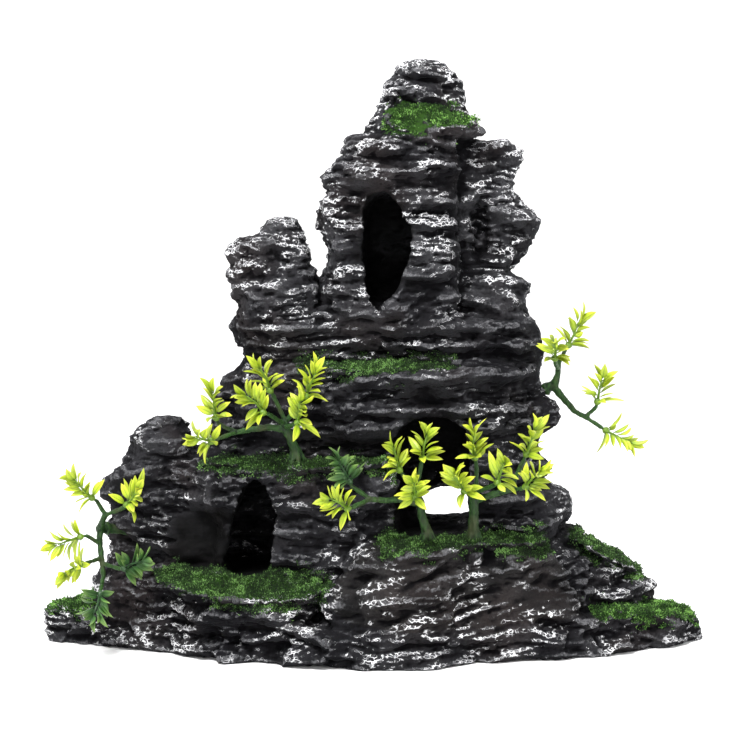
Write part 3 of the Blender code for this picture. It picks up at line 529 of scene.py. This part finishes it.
def packed(sizes, gap):
    """Places for rectangles on rows in a unit square, and the scale that makes them fit."""
    order = sorted(range(len(sizes)), key=lambda k: -sizes[k][1])
    scale = 1.0 / max(max(size) for size in sizes)
    while True:
        places, x, y, row = {}, gap, gap, 0.0
        for k in order:
            wide, high = sizes[k][0] * scale + gap, sizes[k][1] * scale + gap
            if x + wide > 1:
                x, y, row = gap, y + row, 0.0
            places[k] = (x, y)
            x, row = x + wide, max(row, high)
        if y + row <= 1 and x <= 1:
            return places, scale
        scale *= 0.97


def six_sided_chart(points, faces, normals, hidden):
    """A map of a rough piece seen from six sides, with its caves as six more views of their own."""
    facing = normals[faces].mean(axis=1)
    axis = np.abs(facing).argmax(axis=1)
    side = axis * 2 + (facing[np.arange(len(faces)), axis] > 0)
    view = side + 6 * (hidden[faces].mean(axis=1) > 0.5)
    chart = np.zeros((len(faces), faces.shape[1], 2))
    corners, sizes, used = {}, [], []
    for number in np.unique(view):
        mine = np.nonzero(view == number)[0]
        across = [a for a in range(3) if a != axis[mine[0]]]
        flat = points[faces[mine]][:, :, across]
        low = flat.reshape(-1, 2).min(0)
        corners[number] = (mine, flat - low)
        sizes.append(tuple(flat.reshape(-1, 2).max(0) - low))
        used.append(number)
    places, scale = packed(sizes, 0.004)
    for k, number in enumerate(used):
        mine, flat = corners[number]
        chart[mine] = flat * scale + places[k]
    return chart


# ---------------------------------------------------------------- rock

def bedding(points, size, wander, seed):
    """Wandering ledges: near 1 on their lips, sloping back above and undercut below, 0 in the hollows."""
    bent = points.copy()
    bent[:, 2] += wander * noise(points, (46, 46, 60), seed)
    bent[:, 2] += 0.4 * wander * noise(points, (14, 14, 22), seed + 1)
    blocks = np.round(1.7 * noise(points, (0.8 * size[0], 0.8 * size[1], 3 * size[2]), seed + 3))
    bent[:, 2] += 0.24 * size[2] * blocks
    best = np.zeros(len(points))
    for drop, share in ((0.0, 1.0), (0.17, 0.66), (0.36, 0.34)):
        shifted = bent - (0, 0, drop * size[2])
        lip = 1 - np.abs(noise(shifted, size, seed + 2)) / 0.42
        best = np.maximum(best, share * np.clip(lip, 0, 1) ** 0.8)
    return best


def grain_profile(points, seed):
    """The boulder's thin flowing layers, like worn wood grain that rises to the right."""
    bent = points.copy()
    bent[:, 2] -= 0.13 * points[:, 0]
    bent[:, 2] += 5.0 * noise(points, (42, 42, 50), seed) + 1.6 * noise(points, (14, 14, 18), seed + 1)
    thin = ridged(bent, (34, 34, 3.0), seed + 2, 2) - 0.5
    bold = step(0.6, 0.95, ridged(bent, (44, 44, 7.5), seed + 4, 1))
    gouges = step(0.12, 0.55, noise(bent, (21, 21, 6.5), seed + 6))
    return 2.3 * thin + 3.2 * bold - 3.8 * gouges


def owner_tree(names):
    """A search tree over several CAD nodes, with the node number of each of its faces."""
    parts = [cad_arrays(name) for name in names]
    points, faces = stacked(parts)
    owners = np.concatenate([np.full(len(f), n) for n, (_, f) in enumerate(parts)])
    return surface_tree(points, faces), owners


def nearest_owner(points, tree, owners):
    return np.array([owners[tree.find_nearest(point)[2]] for point in points])


def moss_nearness(points, reach):
    """1 on a moss bed, falling to 0 at `reach` mm from it; and which bed is nearest."""
    result = np.zeros(len(points))
    which = np.zeros(len(points), int)
    for number, name in enumerate(MOSS_BEDS):
        pad, faces = cad_arrays(name)
        close = np.nonzero(near_box(points, pad.min(0), pad.max(0), reach))[0]
        near = 1 - distances(points[close], surface_tree(pad, faces), reach) / reach
        better = near > result[close]
        result[close[better]] = near[better]
        which[close[better]] = number
    return result, which


def plant_room(points):
    """1 where stone must stay plain to let a trunk stand and be pulled out, 0 elsewhere."""
    room = np.zeros(len(points))
    for joint in frame["joints"]:
        if not joint["child"].endswith("tree"):
            continue
        trunk, faces = cad_arrays(joint["child"] + "_trunk")
        travel = np.array(joint["axis"]) * joint["range_m"][1] / MM
        for share in (0.0, 0.35, 0.7, 1.0):
            moved = trunk + share * travel
            above = moved.min(0) + (0, 0, PEG_DEPTH + PLANT_ROOM)
            close = np.nonzero(near_box(points, above, moved.max(0), PLANT_ROOM))[0]
            away = distances(points[close], surface_tree(moved, faces), PLANT_ROOM)
            room[close] = np.maximum(room[close], step(PLANT_ROOM, 0.5 * PLANT_ROOM, away))
    return room


def melt(points, edges, owner):
    """Round off the creases where one casting meets the next."""
    shares = np.zeros((len(points), len(ROCKS)))
    shares[np.arange(len(points)), owner] = 1.0
    mixed = 1 - relaxed(shares, edges, 10).max(axis=1)
    mask = relaxed(step(0.02, 0.25, mixed), edges, 3)[:, None]
    return points + mask * (relaxed(points, edges, 26) - points)


def carve(points, faces, owner):
    """Break the plain CAD surface into ledges, grain and blocks."""
    edges = edges_of(faces)
    points = melt(points, edges, owner)
    normals = relaxed(normals_of(points, faces), edges, 3)
    boulder = boulder_share(points, edges, owner)
    under_moss = moss_nearness(points, 4.0)[0]
    calm = (1 - 0.75 * under_moss) * (1 - 0.7 * cave_depth(points))
    calm *= (0.55 + 0.45 * step(0.95, 0.45, np.abs(normals[:, 0]))) * (1 - plant_room(points))
    wall = normals * (1, 1, 0.2)
    strength = 0.3 + 0.7 * step(-0.3, 0.35, fractal(points, (26, 26, 15), 31, 2))
    busy = step(-0.25, 0.35, noise(points, (24, 24, 14), 35))
    ragged = 1 + 0.3 * noise(points, (7, 7, 3.4), 36)
    ledges = LEDGE_DEPTH * strength * ragged * (bedding(points, LEDGE_SIZE, 6.0, 1) - 0.43)
    thin_ledges = bedding(points, THIN_LEDGE_SIZE, 3.5, 21) - 0.42
    ledges += THIN_LEDGE_DEPTH * (0.25 + 0.75 * busy) * thin_ledges
    boulder_ledges = BOULDER_LEDGE_DEPTH * strength * (bedding(points, BOULDER_LEDGE_SIZE, 5.0, 66) - 0.4)
    boulder_ledges += grain_profile(points, 61)
    ledges = ledges * (1 - boulder) + boulder * boulder_ledges
    shaken = points + (0, 0, 2) * noise(points, 9, 48)[:, None]
    steps = np.round(3.2 * noise(shaken, (19, 19, 13), 47)) / 3.2
    blocks = 1.4 * noise(points, (17, 17, 11), 41) + 1.5 * steps + 0.5 * noise(points, (7, 7, 5), 42)
    clefts = step(0.72, 1.0, ridged(points, (15, 15, 46), 43, 1))
    clefts *= step(0.0, 0.4, noise(points, (18, 18, 9), 44))
    blocks -= CLEFT_DEPTH * clefts
    blocks *= 1 - 0.45 * boulder
    moved = points + wall * (ledges * calm)[:, None] + normals * (1, 1, 0.4) * (blocks * calm)[:, None]
    return moved - normals * (0.4 * under_moss)[:, None]


def boulder_share(points, edges, owner):
    """1 on the front boulder and on the slab just under it, falling to 0 around them."""
    low, high = (np.array(corner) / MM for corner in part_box(BOULDER))
    low[2] = 0.0
    foot = near_box(points, low, high, 1.0) & (points[:, 1] < high[1] - 6)
    share = ((owner == ROCKS.index(BOULDER)) | foot).astype(float)
    return relaxed(share, edges, 5)


def cave_depth(points):
    """1 on the walls inside the caves, 0 on the outside of the rock."""
    depth = np.zeros(len(points))
    for opening in frame["record"]["physics"]["openings"]:
        if opening["name"] not in CAVES:
            continue
        low, high = (np.array(corner) / MM for corner in opening["box_m"])
        away = np.linalg.norm(np.maximum(np.maximum(low - points, points - high), 0), axis=1)
        rim = min(6.5, 0.3 * (high[1] - low[1]))
        inside = (1 - step(4, 10, away)) * step(low[1] + rim, low[1] + 1.9 * rim, points[:, 1])
        depth = np.maximum(depth, inside)
    return depth


def moss_mounds(points):
    """The height of the small cushions that a moss bed is made of."""
    return MOSS_HEIGHT * step(-0.15, 0.55, noise(points, 3.3, 79)) * step(-0.5, 0.2, noise(points, 9.0, 80))


def roughen(points, faces, boulder, mossy, calm):
    """Fine crests, pits and grain over the ledges, and cushions under the moss."""
    normals = normals_of(points, faces)
    crests = ridged(points, (8.0, 8.0, 2.6), 71, 3) - 0.55
    thin = bedding(points, (11, 11, 2.4), 2.0, 77) - 0.4
    pits = step(0.36, 0.60, noise(points, (2.4, 2.4, 1.8), 75))
    grit = noise(points, 1.3, 76)
    smooth_patch = 0.35 + 0.65 * step(-0.25, 0.15, noise(points, (15, 15, 9), 78))
    amount = smooth_patch * (1.15 * crests + 1.0 * thin - 0.6 * pits) + 0.16 * grit
    amount *= (1 - 0.35 * boulder) * (1 - 0.5 * mossy) * calm
    return points + normals * (amount + mossy * moss_mounds(points))[:, None]


def bulge(points, edges, normals, rounds):
    """How far each point stands out from its neighbourhood, in mm."""
    return np.einsum("ij,ij->i", points - relaxed(points, edges, rounds), normals)


def lump(centre, radii, sides=14):
    """A rounded closed lump that fills a nook between castings."""
    rows = [(0, 0, -1)]
    for ring in range(1, sides // 2):
        tilt = math.pi * ring / (sides // 2)
        for k in range(sides):
            turn = 2 * math.pi * k / sides
            rows.append((math.sin(tilt) * math.cos(turn), math.sin(tilt) * math.sin(turn), -math.cos(tilt)))
    rows.append((0, 0, 1))
    last = len(rows) - 1
    faces = []
    for k in range(sides):
        n = (k + 1) % sides
        faces.append((0, 1 + n, 1 + k))
        faces.append((last, last - sides + k, last - sides + n))
        for ring in range(sides // 2 - 2):
            a = 1 + ring * sides
            faces += [(a + k, a + n, a + sides + n), (a + k, a + sides + n, a + sides + k)]
    return np.array(rows) * radii + centre, np.array(faces)


def make_rock(materials):
    """The whole rock face as one carved surface, then cut into the castings it stands for."""
    tree, owners = owner_tree(ROCKS)
    solids = [cad_arrays(name) for name in ROCKS + MOSS_BEDS]
    points, faces = stacked(solids + [lump(*sizes) for sizes in FILLERS])
    points, faces = remeshed(points, faces, COARSE_VOXEL, smoothing=5)
    points = carve(points, faces, nearest_owner(points, tree, owners))
    points, faces = remeshed(points, faces, ROCK_VOXEL, smoothing=1)
    owner = nearest_owner(points, tree, owners)
    edges = edges_of(faces)
    boulder = boulder_share(points, edges, owner)
    near_moss, nearest_bed = moss_nearness(points, MOSS_FRINGE)
    inside = cave_depth(points)
    mossy = step(0.5, 0.95, near_moss)
    points = roughen(points, faces, boulder, mossy, (1 - 0.6 * inside) * (1 - 0.6 * plant_room(points)))
    points[:, 2] = np.maximum(points[:, 2], 0.0)

    normals = normals_of(points, faces)
    fine = bulge(points, edges, normals, 4)
    broad = bulge(points, edges, normals, 24)
    wide = bulge(points, edges, normals, 90)
    # crest: convex places, fading on faces turned down and inside the caves, for the white dry-brush paint and the
    # painted highlight; the hollow and cave values carry the painted shade of the hollows and the caves.
    values = {
        "crest": np.clip(0.22 + 1.1 * fine + 0.40 * broad + 0.10 * wide, 0, 1)
                 * step(-0.75, 0.0, normals[:, 2]) * (1 - inside),
        "hollow_shade": np.clip(0.12 - 0.7 * fine - 0.55 * broad - 0.28 * wide, 0, 1),
        "moss": near_moss * step(-0.3, 0.3, normals[:, 2]),
        "cave": inside,
    }
    face_owner = owner[faces[:, 0]]
    broad_normals = relaxed(normals, edges, 14)
    for number, name in enumerate(ROCKS):
        mine = faces[face_owner == number]
        used, back = np.unique(mine, return_inverse=True)
        part_values = {key: numbers[used] for key, numbers in values.items()}
        key = "boulder_stone" if name == BOULDER else "rock"
        part = back.reshape(mine.shape)
        chart = six_sided_chart(points[used], part, broad_normals[used], inside[used])
        piece = add_piece(name + "_cast", points[used], part, materials[key], "rockwork", [name],
                          part_values, chart)
        piece.data.normals_split_custom_set_from_vertices(normals[used].tolist())
    return points, normals, near_moss, nearest_bed


# ---------------------------------------------------------------- moss

def tufts(places, directions, lengths, widths, tones, random):
    """Small pointed tufts: each one an irregular spindle with four sides."""
    count = len(places)
    side = np.cross(directions, random.normal(size=(count, 3)))
    side /= np.linalg.norm(side, axis=1)[:, None]
    other = np.cross(directions, side)
    ring = []
    for corner in range(4):
        angle = math.pi / 2 * corner
        out = side * math.cos(angle) + other * math.sin(angle)
        reach = widths * random.uniform(0.7, 1.2, count)
        ring.append(places + directions * (0.35 * lengths)[:, None] + out * reach[:, None])
    foot = places - directions * (0.25 * lengths)[:, None]
    top = places + directions * lengths[:, None]
    points = np.stack([foot, *ring, top], axis=1).reshape(-1, 3)
    pattern = [(0, (k + 1) % 4 + 1, k + 1) for k in range(4)]
    pattern += [(5, k + 1, (k + 1) % 4 + 1) for k in range(4)]
    faces = (np.array(pattern)[None] + 6 * np.arange(count)[:, None, None]).reshape(-1, 3)
    # How deep in the flock each corner sits, for the painted shade at a tuft's foot.
    foot_shade = np.tile([1.0, 0.35, 0.35, 0.35, 0.35, 0.0], count)
    return points, faces, np.repeat(tones, 6), foot_shade


def make_moss(rock_points, rock_normals, near_moss, nearest_bed, materials):
    """Each bed is flocked straight on the stone: thick in the middle, thinning out in ragged patches."""
    random = np.random.RandomState(5)
    for number, name in enumerate(MOSS_BEDS):
        around = np.nonzero((nearest_bed == number) & (near_moss > 0.02) & (rock_normals[:, 2] > -0.4))[0]
        keep = near_moss[around] * step(-0.6, 0.45, rock_normals[around, 2])
        patchy, edge = MOSS_PATCHES.get(name, (0.5, 0.26))
        keep += patchy * fractal(rock_points[around], 6.5, 85, 4)
        chance = step(edge, edge + 0.32, keep)
        around = np.repeat(around, 3)
        chance = np.repeat(chance, 3) * 0.75
        around = around[random.uniform(0, 1, len(around)) < chance]

        places = rock_points[around] + random.normal(scale=0.3, size=(len(around), 3))
        directions = rock_normals[around] + random.normal(scale=0.6, size=places.shape) + (0, 0, 0.3)
        directions /= np.linalg.norm(directions, axis=1)[:, None]
        lengths = random.uniform(*TUFT_LENGTHS, len(places))
        widths = random.uniform(*TUFT_WIDTHS, len(places))
        tones = 0.27 + 0.35 * noise(places, 6.0, 86) + 0.35 * noise(places, 1.6, 87)
        # Tufts high on a cushion get a lighter tone and those between cushions a darker one: painted light and
        # shade.
        tones += 0.42 * moss_mounds(places)
        tones += random.normal(scale=0.27, size=len(places))
        points, faces, tone, foot_shade = tufts(places, directions, lengths, widths, np.clip(tones, 0, 1), random)
        low, high = points.min(0), points.max(0)
        flat = (points[:, :2] - low[:2]) / (high - low)[:2].max()
        key = "bright_moss" if name in BRIGHT_MOSS else "moss"
        add_piece(name + "_flock", points, faces, materials[key], "rockwork", [name],
                  {"tone": tone, "foot_shade": foot_shade}, flat[faces])


# ---------------------------------------------------------------- plants

def whorl_layout(name):
    """A CAD whorl's hub centre, its axis, and the tip of each of its leaves."""
    points, _ = cad_arrays(name)
    leaves = len(points) // 16
    order = np.argsort(np.linalg.norm(points - points.mean(0), axis=1))
    hub = points[order[:4 * leaves]]
    centre = hub.mean(0)
    far = points[np.argsort(np.linalg.norm(points - centre, axis=1))[-4 * leaves:]]
    axis = np.linalg.svd(hub - centre)[2][2]
    if np.dot(far.mean(0) - centre, axis) < 0:
        axis = -axis
    side = np.linalg.svd(hub - centre)[2][0]
    other = np.cross(axis, side)
    angles = np.arctan2((far - centre) @ other, (far - centre) @ side)
    order = np.argsort(angles)
    angles, far = angles[order], far[order]
    gap = np.argmax(np.diff(np.append(angles, angles[0] + 2 * math.pi)))
    far = np.roll(far, -(gap + 1), axis=0)
    return centre, axis, far.reshape(leaves, 4, 3).mean(1)


SPRAY_LENGTH = 9.0
SPRAY_LEAVES = 12
LEAF_LENGTHS = (0.76, 1.02)
LEAF_WIDTHS = (1.9, 2.6)
LEAF_THICKNESS = 0.26
LEAF_STATIONS = 11
LEAF_STALK = 0.1
LEAF_ACROSS = np.array([-1.0, -0.55, 0.0, 0.55, 1.0])


def blade(base, tip, up, width, arch, fold, twist):
    """A lance-shaped leaf from base to tip, arched over, folded along its rib, closed and thin."""
    along = unit(tip - base)
    side = unit(np.cross(along, up))
    face = np.cross(side, along)
    side, face = (side * math.cos(twist) + face * math.sin(twist),
                  face * math.cos(twist) - side * math.sin(twist))
    length = np.linalg.norm(tip - base)
    share = np.linspace(0, 1, LEAF_STATIONS)
    spine = base + np.outer(share * length, along) + np.outer(arch * length * 4 * share * (1 - share), face)
    blade_share = np.clip((share - LEAF_STALK) / (1 - LEAF_STALK), 0, 1)
    spread = width / 2 * (np.sin(math.pi * blade_share ** 0.78) ** 0.9) + np.where(share < 0.9, 0.2, 0.06)
    top, values = [], []
    for station in range(LEAF_STATIONS):
        for across in LEAF_ACROSS:
            out = across * spread[station]
            top.append(spine[station] + side * out + face * (fold * abs(out) - 0.06 * across ** 2))
            values.append((share[station], abs(across), across))
    top = np.array(top)
    columns = len(LEAF_ACROSS)
    rim = np.zeros(len(top), bool).reshape(LEAF_STATIONS, columns)
    rim[[0, -1], :] = True
    rim[:, [0, -1]] = True
    rim = rim.ravel()
    low = np.cumsum(~rim) - 1 + len(top)
    low = np.where(rim, np.arange(len(top)), low)
    points = np.concatenate([top, (top - face * LEAF_THICKNESS)[~rim]])
    values = np.array(values)
    values = np.concatenate([values, values[~rim]])
    quads = []
    for r in range(LEAF_STATIONS - 1):
        for c in range(columns - 1):
            a, b = r * columns + c, r * columns + c + 1
            d, e = a + columns, b + columns
            quads.append((a, d, e, b))
            quads.append((low[b], low[e], low[d], low[a]))
    return points, np.array(quads), values


def hub_bead(centre, axis, stem):
    """The small swollen bud that the leaves grow from."""
    side = unit(np.cross(axis, (0.3, 0.5, 0.8)))
    other = np.cross(axis, side)
    profile = ((-1.3, 0.55), (-0.9, 1.0), (-0.2, 1.35), (0.6, 1.15), (1.2, 0.6))
    sides = 10
    points = [centre + axis * (profile[0][0] - 0.2)]
    for height, radius in profile:
        for k in range(sides):
            angle = 2 * math.pi * k / sides
            lobe = radius * (1 + 0.12 * math.sin(3 * angle + height))
            out = side * math.cos(angle) + other * math.sin(angle)
            points.append(centre + axis * height + out * lobe)
    points.append(centre + axis * (profile[-1][0] + 0.3))
    quads = []
    last = len(points) - 1
    for k in range(sides):
        n = (k + 1) % sides
        quads.append((0, 1 + n, 1 + k, 1 + k))
        for ring in range(len(profile) - 1):
            a = 1 + ring * sides
            quads.append((a + k, a + n, a + sides + n, a + sides + k))
        a = 1 + (len(profile) - 1) * sides
        quads.append((a + k, a + n, last, last))
    values = np.zeros((len(points), 3))
    values[:, 1] = 1.0
    values[:, 0] = stem
    return np.array(points), np.array(quads), values


def triangles(quads):
    both = np.concatenate([quads[:, [0, 1, 2]], quads[:, [0, 2, 3]]])
    distinct = (both[:, 0] != both[:, 1]) & (both[:, 1] != both[:, 2]) & (both[:, 2] != both[:, 0])
    return both[distinct]


def make_whorl(name, body, material, lift, random):
    """A CAD whorl as a leafy spray: a bud, a short twig, and creased leaves on both sides of it."""
    centre, axis, tips = whorl_layout(name)
    reach = np.linalg.norm(tips - centre, axis=1).mean()
    spray = unit(axis + lift * np.array([0.0, -0.15, 1.0]) + random.normal(scale=0.15, size=3))
    side = unit(np.cross(spray, (random.normal(scale=0.45), -1.0, random.normal(scale=0.45))))
    facing = np.cross(side, spray)
    top = centre + spray * SPRAY_LENGTH + facing * random.uniform(0.2, 1.0)
    bend = centre + spray * 0.5 * SPRAY_LENGTH + side * random.uniform(-0.7, 0.7)
    twig_points, twig_faces = tube([(centre, 0.55), (bend, 0.42), (top, 0.28)], 6)
    quads = np.concatenate([twig_faces, twig_faces[:, 2:]], axis=1)
    stem_values = np.tile([0.1, 1.0, 0.0], (len(twig_points), 1))
    parts = [hub_bead(centre, axis, 0.1), (twig_points, quads, stem_values)]
    tones = [0.6, 0.6]
    plan = []
    for index in range(0, len(tips), 2):
        plan.append((centre, centre + (tips[index] - centre) * random.uniform(0.9, 1.12),
                     random.uniform(2.0, 2.6)))
    for index in range(SPRAY_LEAVES):
        share = index / (SPRAY_LEAVES - 1)
        start = centre + (bend - centre) * min(2 * share, 1) + (top - bend) * max(2 * share - 1, 0)
        angle = math.radians(68 - 40 * share + random.uniform(-9, 9)) * (-1) ** index
        out = spray * math.cos(angle) + side * math.sin(angle) + facing * random.uniform(-0.25, 0.55)
        length = reach * random.uniform(*LEAF_LENGTHS)
        plan.append((start, start + unit(out) * length, random.uniform(*LEAF_WIDTHS)))
    plan.append((top, top + unit(spray + 0.2 * facing) * reach * 0.9, 2.5))
    for start, tip, width in plan:
        out = unit(tip - start)
        tip = tip + random.normal(scale=0.7, size=3)
        up = axis + random.normal(scale=0.25, size=3)
        parts.append(blade(start + out * 0.35, tip, up, width, random.uniform(0.02, 0.11),
                           random.uniform(0.2, 0.5), random.uniform(-0.6, 0.6)))
        tones.append(random.uniform(0, 1))
    points, quads = stacked([(p, q) for p, q, _ in parts])
    values = np.concatenate([v for _, _, v in parts])
    tone = np.concatenate([np.full(len(p), t) for (p, _, _), t in zip(parts, tones)])
    part = np.concatenate([np.full(len(p), k) for k, (p, _, _) in enumerate(parts)])
    rows = math.ceil(math.sqrt(len(parts)))
    cell = np.stack([part % rows, part // rows], axis=1)
    flat = (cell + 0.04 + 0.92 * np.stack([values[:, 0], 0.5 + 0.5 * values[:, 2]], axis=1)) / rows
    faces = triangles(quads)
    add_piece(name + "_leaves", points, faces, material, body, [name],
              {"along": values[:, 0], "across": values[:, 1], "tone": tone}, flat[faces])


def tube(path, sides=10):
    """A closed round rod along a path of (point, radius)."""
    places = np.array([p for p, _ in path], float)
    radii = [r for _, r in path]
    points, side = [], None
    for index, place in enumerate(places):
        along = unit(places[min(index + 1, len(places) - 1)] - places[max(index - 1, 0)])
        side = np.cross(along, (0.31, 0.22, 0.92)) if side is None else side
        side = unit(side - along * np.dot(side, along))
        other = np.cross(along, side)
        for k in range(sides):
            angle = 2 * math.pi * k / sides
            points.append(place + (side * math.cos(angle) + other * math.sin(angle)) * radii[index])
    faces = []
    for ring in range(len(path) - 1):
        for k in range(sides):
            n = (k + 1) % sides
            a, b = ring * sides + k, ring * sides + n
            faces += [(a, b, b + sides), (a, b + sides, a + sides)]
    last = (len(path) - 1) * sides
    faces += [(0, k + 1, k) for k in range(1, sides - 1)]
    faces += [(last, last + k, last + k + 1) for k in range(1, sides - 1)]
    return np.array(points), np.array(faces)


def make_trunk(name, material, roots, random):
    """A CAD trunk with rounded bark ridges, and small roots where it stands upright on the moss."""
    points, faces = cad_arrays(name)
    parts = [(points, faces)]
    if roots:
        low = points[:, 2].min() + PEG_DEPTH
        foot = points[np.abs(points[:, 2] - low - 1.5) < 2.5].mean(0)
        for k in range(roots):
            angle = -math.pi * (k + 0.5 + 0.3 * random.uniform()) / roots
            out = np.array([math.cos(angle), math.sin(angle), 0.0])
            start = np.array([foot[0], foot[1], low + 5.5])
            path = [(start + out * 0.6, 1.0), (start + out * 1.9 - (0, 0, 2.2), 0.85),
                    (start + out * 3.0 - (0, 0, 4.4), 0.75), (start + out * 4.4 - (0, 0, 5.4), 0.5)]
            parts.append(tube(path))
    points, faces = remeshed(*stacked(parts), TRUNK_VOXEL, smoothing=3)
    normals = normals_of(points, faces)
    ridges = ridged(points, (1.5, 1.5, 5.0), 91, 2) - 0.5
    points = points + normals * (0.34 * ridges + 0.16 * noise(points, 2.6, 93))[:, None]
    edges = edges_of(faces)
    # How far the bark stands out, for the painted highlight on its ridges.
    crest = np.clip(0.5 + 3.0 * bulge(points, edges, normals, 5), 0, 1)
    add_piece(name + "_bark", points, faces, material, name.removesuffix("_trunk"), [name],
              {"crest": crest})


def make_plants(materials):
    random = np.random.RandomState(9)
    for plant in PLANTS:
        upright = plant.endswith("tree")
        make_trunk(plant + "_trunk", materials["trunk"], 4 if upright else 0, random)
        whorls = sorted(n for n in frame["nodes"] if n.startswith(plant + "_whorl_"))
        for number, name in enumerate(whorls, 1):
            dark = (plant == "front_left_tree" and number == 1) or (plant == "left_vine" and number > 4)
            key = "dark_leaf" if dark else "leaf"
            make_whorl(name, plant, materials[key], 0.7 if upright else 0.15, random)


# ---------------------------------------------------------------- studio

# The stage is in metres, and lies a little below the object so that the two don't touch.
STAGE_RADIUS = 1.5
STAGE_BEND = 0.6
STAGE_WALL = 1.3
STAGE_DROP = 0.0002


def make_stage():
    """A pale round floor that curves up into a low wall all round, like a studio bowl."""
    profile = [(0.5, 0.0), (STAGE_RADIUS - STAGE_BEND, 0.0)]
    for k in range(1, 13):
        angle = math.pi / 2 * k / 12
        out = STAGE_RADIUS - STAGE_BEND * (1 - math.sin(angle))
        profile.append((out, STAGE_BEND * (1 - math.cos(angle))))
    profile.append((STAGE_RADIUS, STAGE_WALL))
    sides = 72
    turns = [2 * math.pi * k / sides for k in range(sides)]
    points = [(r * math.cos(t), r * math.sin(t), z - STAGE_DROP) for r, z in profile for t in turns]
    points.append((0.0, 0.0, -STAGE_DROP))
    centre = len(points) - 1
    faces = []
    for k in range(sides):
        n = (k + 1) % sides
        faces.append((centre, k, n, n))
        for row in range(len(profile) - 1):
            a = row * sides
            faces.append((a + k, a + sides + k, a + sides + n, a + n))
    floor = bpy.data.objects.new("studio_floor", new_mesh("studio_floor", np.array(points) / MM,
                                                          triangles(np.array(faces))))
    floor.data.materials.append(paper_material("studio_paper"))
    bpy.context.scene.collection.objects.link(floor)


# Each light's name, place and size in metres, and power in watts.
LIGHTS = [("key", (-0.30, -0.65, 1.10), (0.4, 0.35), 27),
          ("fill", (0.95, -0.70, 0.55), (0.6, 0.8), 4.0),
          ("top", (0.05, 0.25, 1.25), (0.9, 0.8), 13)]
SKY_STRENGTH = 0.30

# The camera looks along +Y, a little downwards: degrees, and millimetres for the lens and sensor.
CAMERA_PLACE = (0.0009, -0.700, 0.165)
CAMERA_TILT = 5.3
LENS = 92.5
SENSOR_WIDTH = 36.0


def area_light(name, place, aim, size, power):
    data = bpy.data.lights.new(name, "AREA")
    data.shape = "RECTANGLE"
    data.size, data.size_y = size
    data.energy = power
    light = bpy.data.objects.new(name, data)
    light.location = place
    light.rotation_euler = (Vector(aim) - Vector(place)).to_track_quat("-Z", "Y").to_euler()
    bpy.context.scene.collection.objects.link(light)


def make_studio():
    """Soft light from above and in front, weaker light from the right and overhead, and the camera."""
    low, high = (Vector(corner) for corner in CAD_BOX)
    middle = (low + high) / 2
    for name, place, size, power in LIGHTS:
        area_light(name, place, middle, size, power)
    world = bpy.data.worlds.new("studio")
    bpy.context.scene.world = world
    world.use_nodes = True
    world.node_tree.nodes["Background"].inputs["Color"].default_value = (1, 1, 1, 1)
    world.node_tree.nodes["Background"].inputs["Strength"].default_value = SKY_STRENGTH
    view = bpy.context.scene.view_settings
    view.view_transform = "Standard"
    view.look = "None"

    data = bpy.data.cameras.new("camera")
    data.sensor_width = SENSOR_WIDTH
    data.lens = LENS
    data.clip_start = 0.01
    camera = bpy.data.objects.new("camera", data)
    camera.location = CAMERA_PLACE
    camera.rotation_euler = (math.radians(90 - CAMERA_TILT), 0, 0)
    bpy.context.scene.collection.objects.link(camera)
    bpy.context.scene.camera = camera


def make_materials():
    return {
        "rock": rock_material("rock", (0.006, 0.006, 0.007), (0.034, 0.034, 0.037), 1.5, 0.028),
        "boulder_stone": rock_material("boulder_stone", (0.006, 0.006, 0.006), (0.036, 0.034, 0.034),
                                       1.9, 0.016),
        "moss": moss_material("moss", (0.003, 0.009, 0.002), (0.034, 0.085, 0.016), (0.20, 0.40, 0.10)),
        "bright_moss": moss_material("bright_moss", (0.004, 0.014, 0.002), (0.060, 0.16, 0.024),
                                     (0.28, 0.56, 0.12)),
        "trunk": bark_material(),
        "leaf": leaf_material("leaf", (0.075, 0.16, 0.010), (0.40, 0.50, 0.020), (0.60, 0.62, 0.050)),
        "dark_leaf": leaf_material("dark_leaf", (0.010, 0.040, 0.010), (0.045, 0.125, 0.024),
                                   (0.20, 0.31, 0.07)),
    }


def main():
    materials = make_materials()
    rock_points, rock_normals, near_moss, nearest_bed = make_rock(materials)
    make_moss(rock_points, rock_normals, near_moss, nearest_bed, materials)
    make_plants(materials)
    make_stage()
    make_studio()


main()
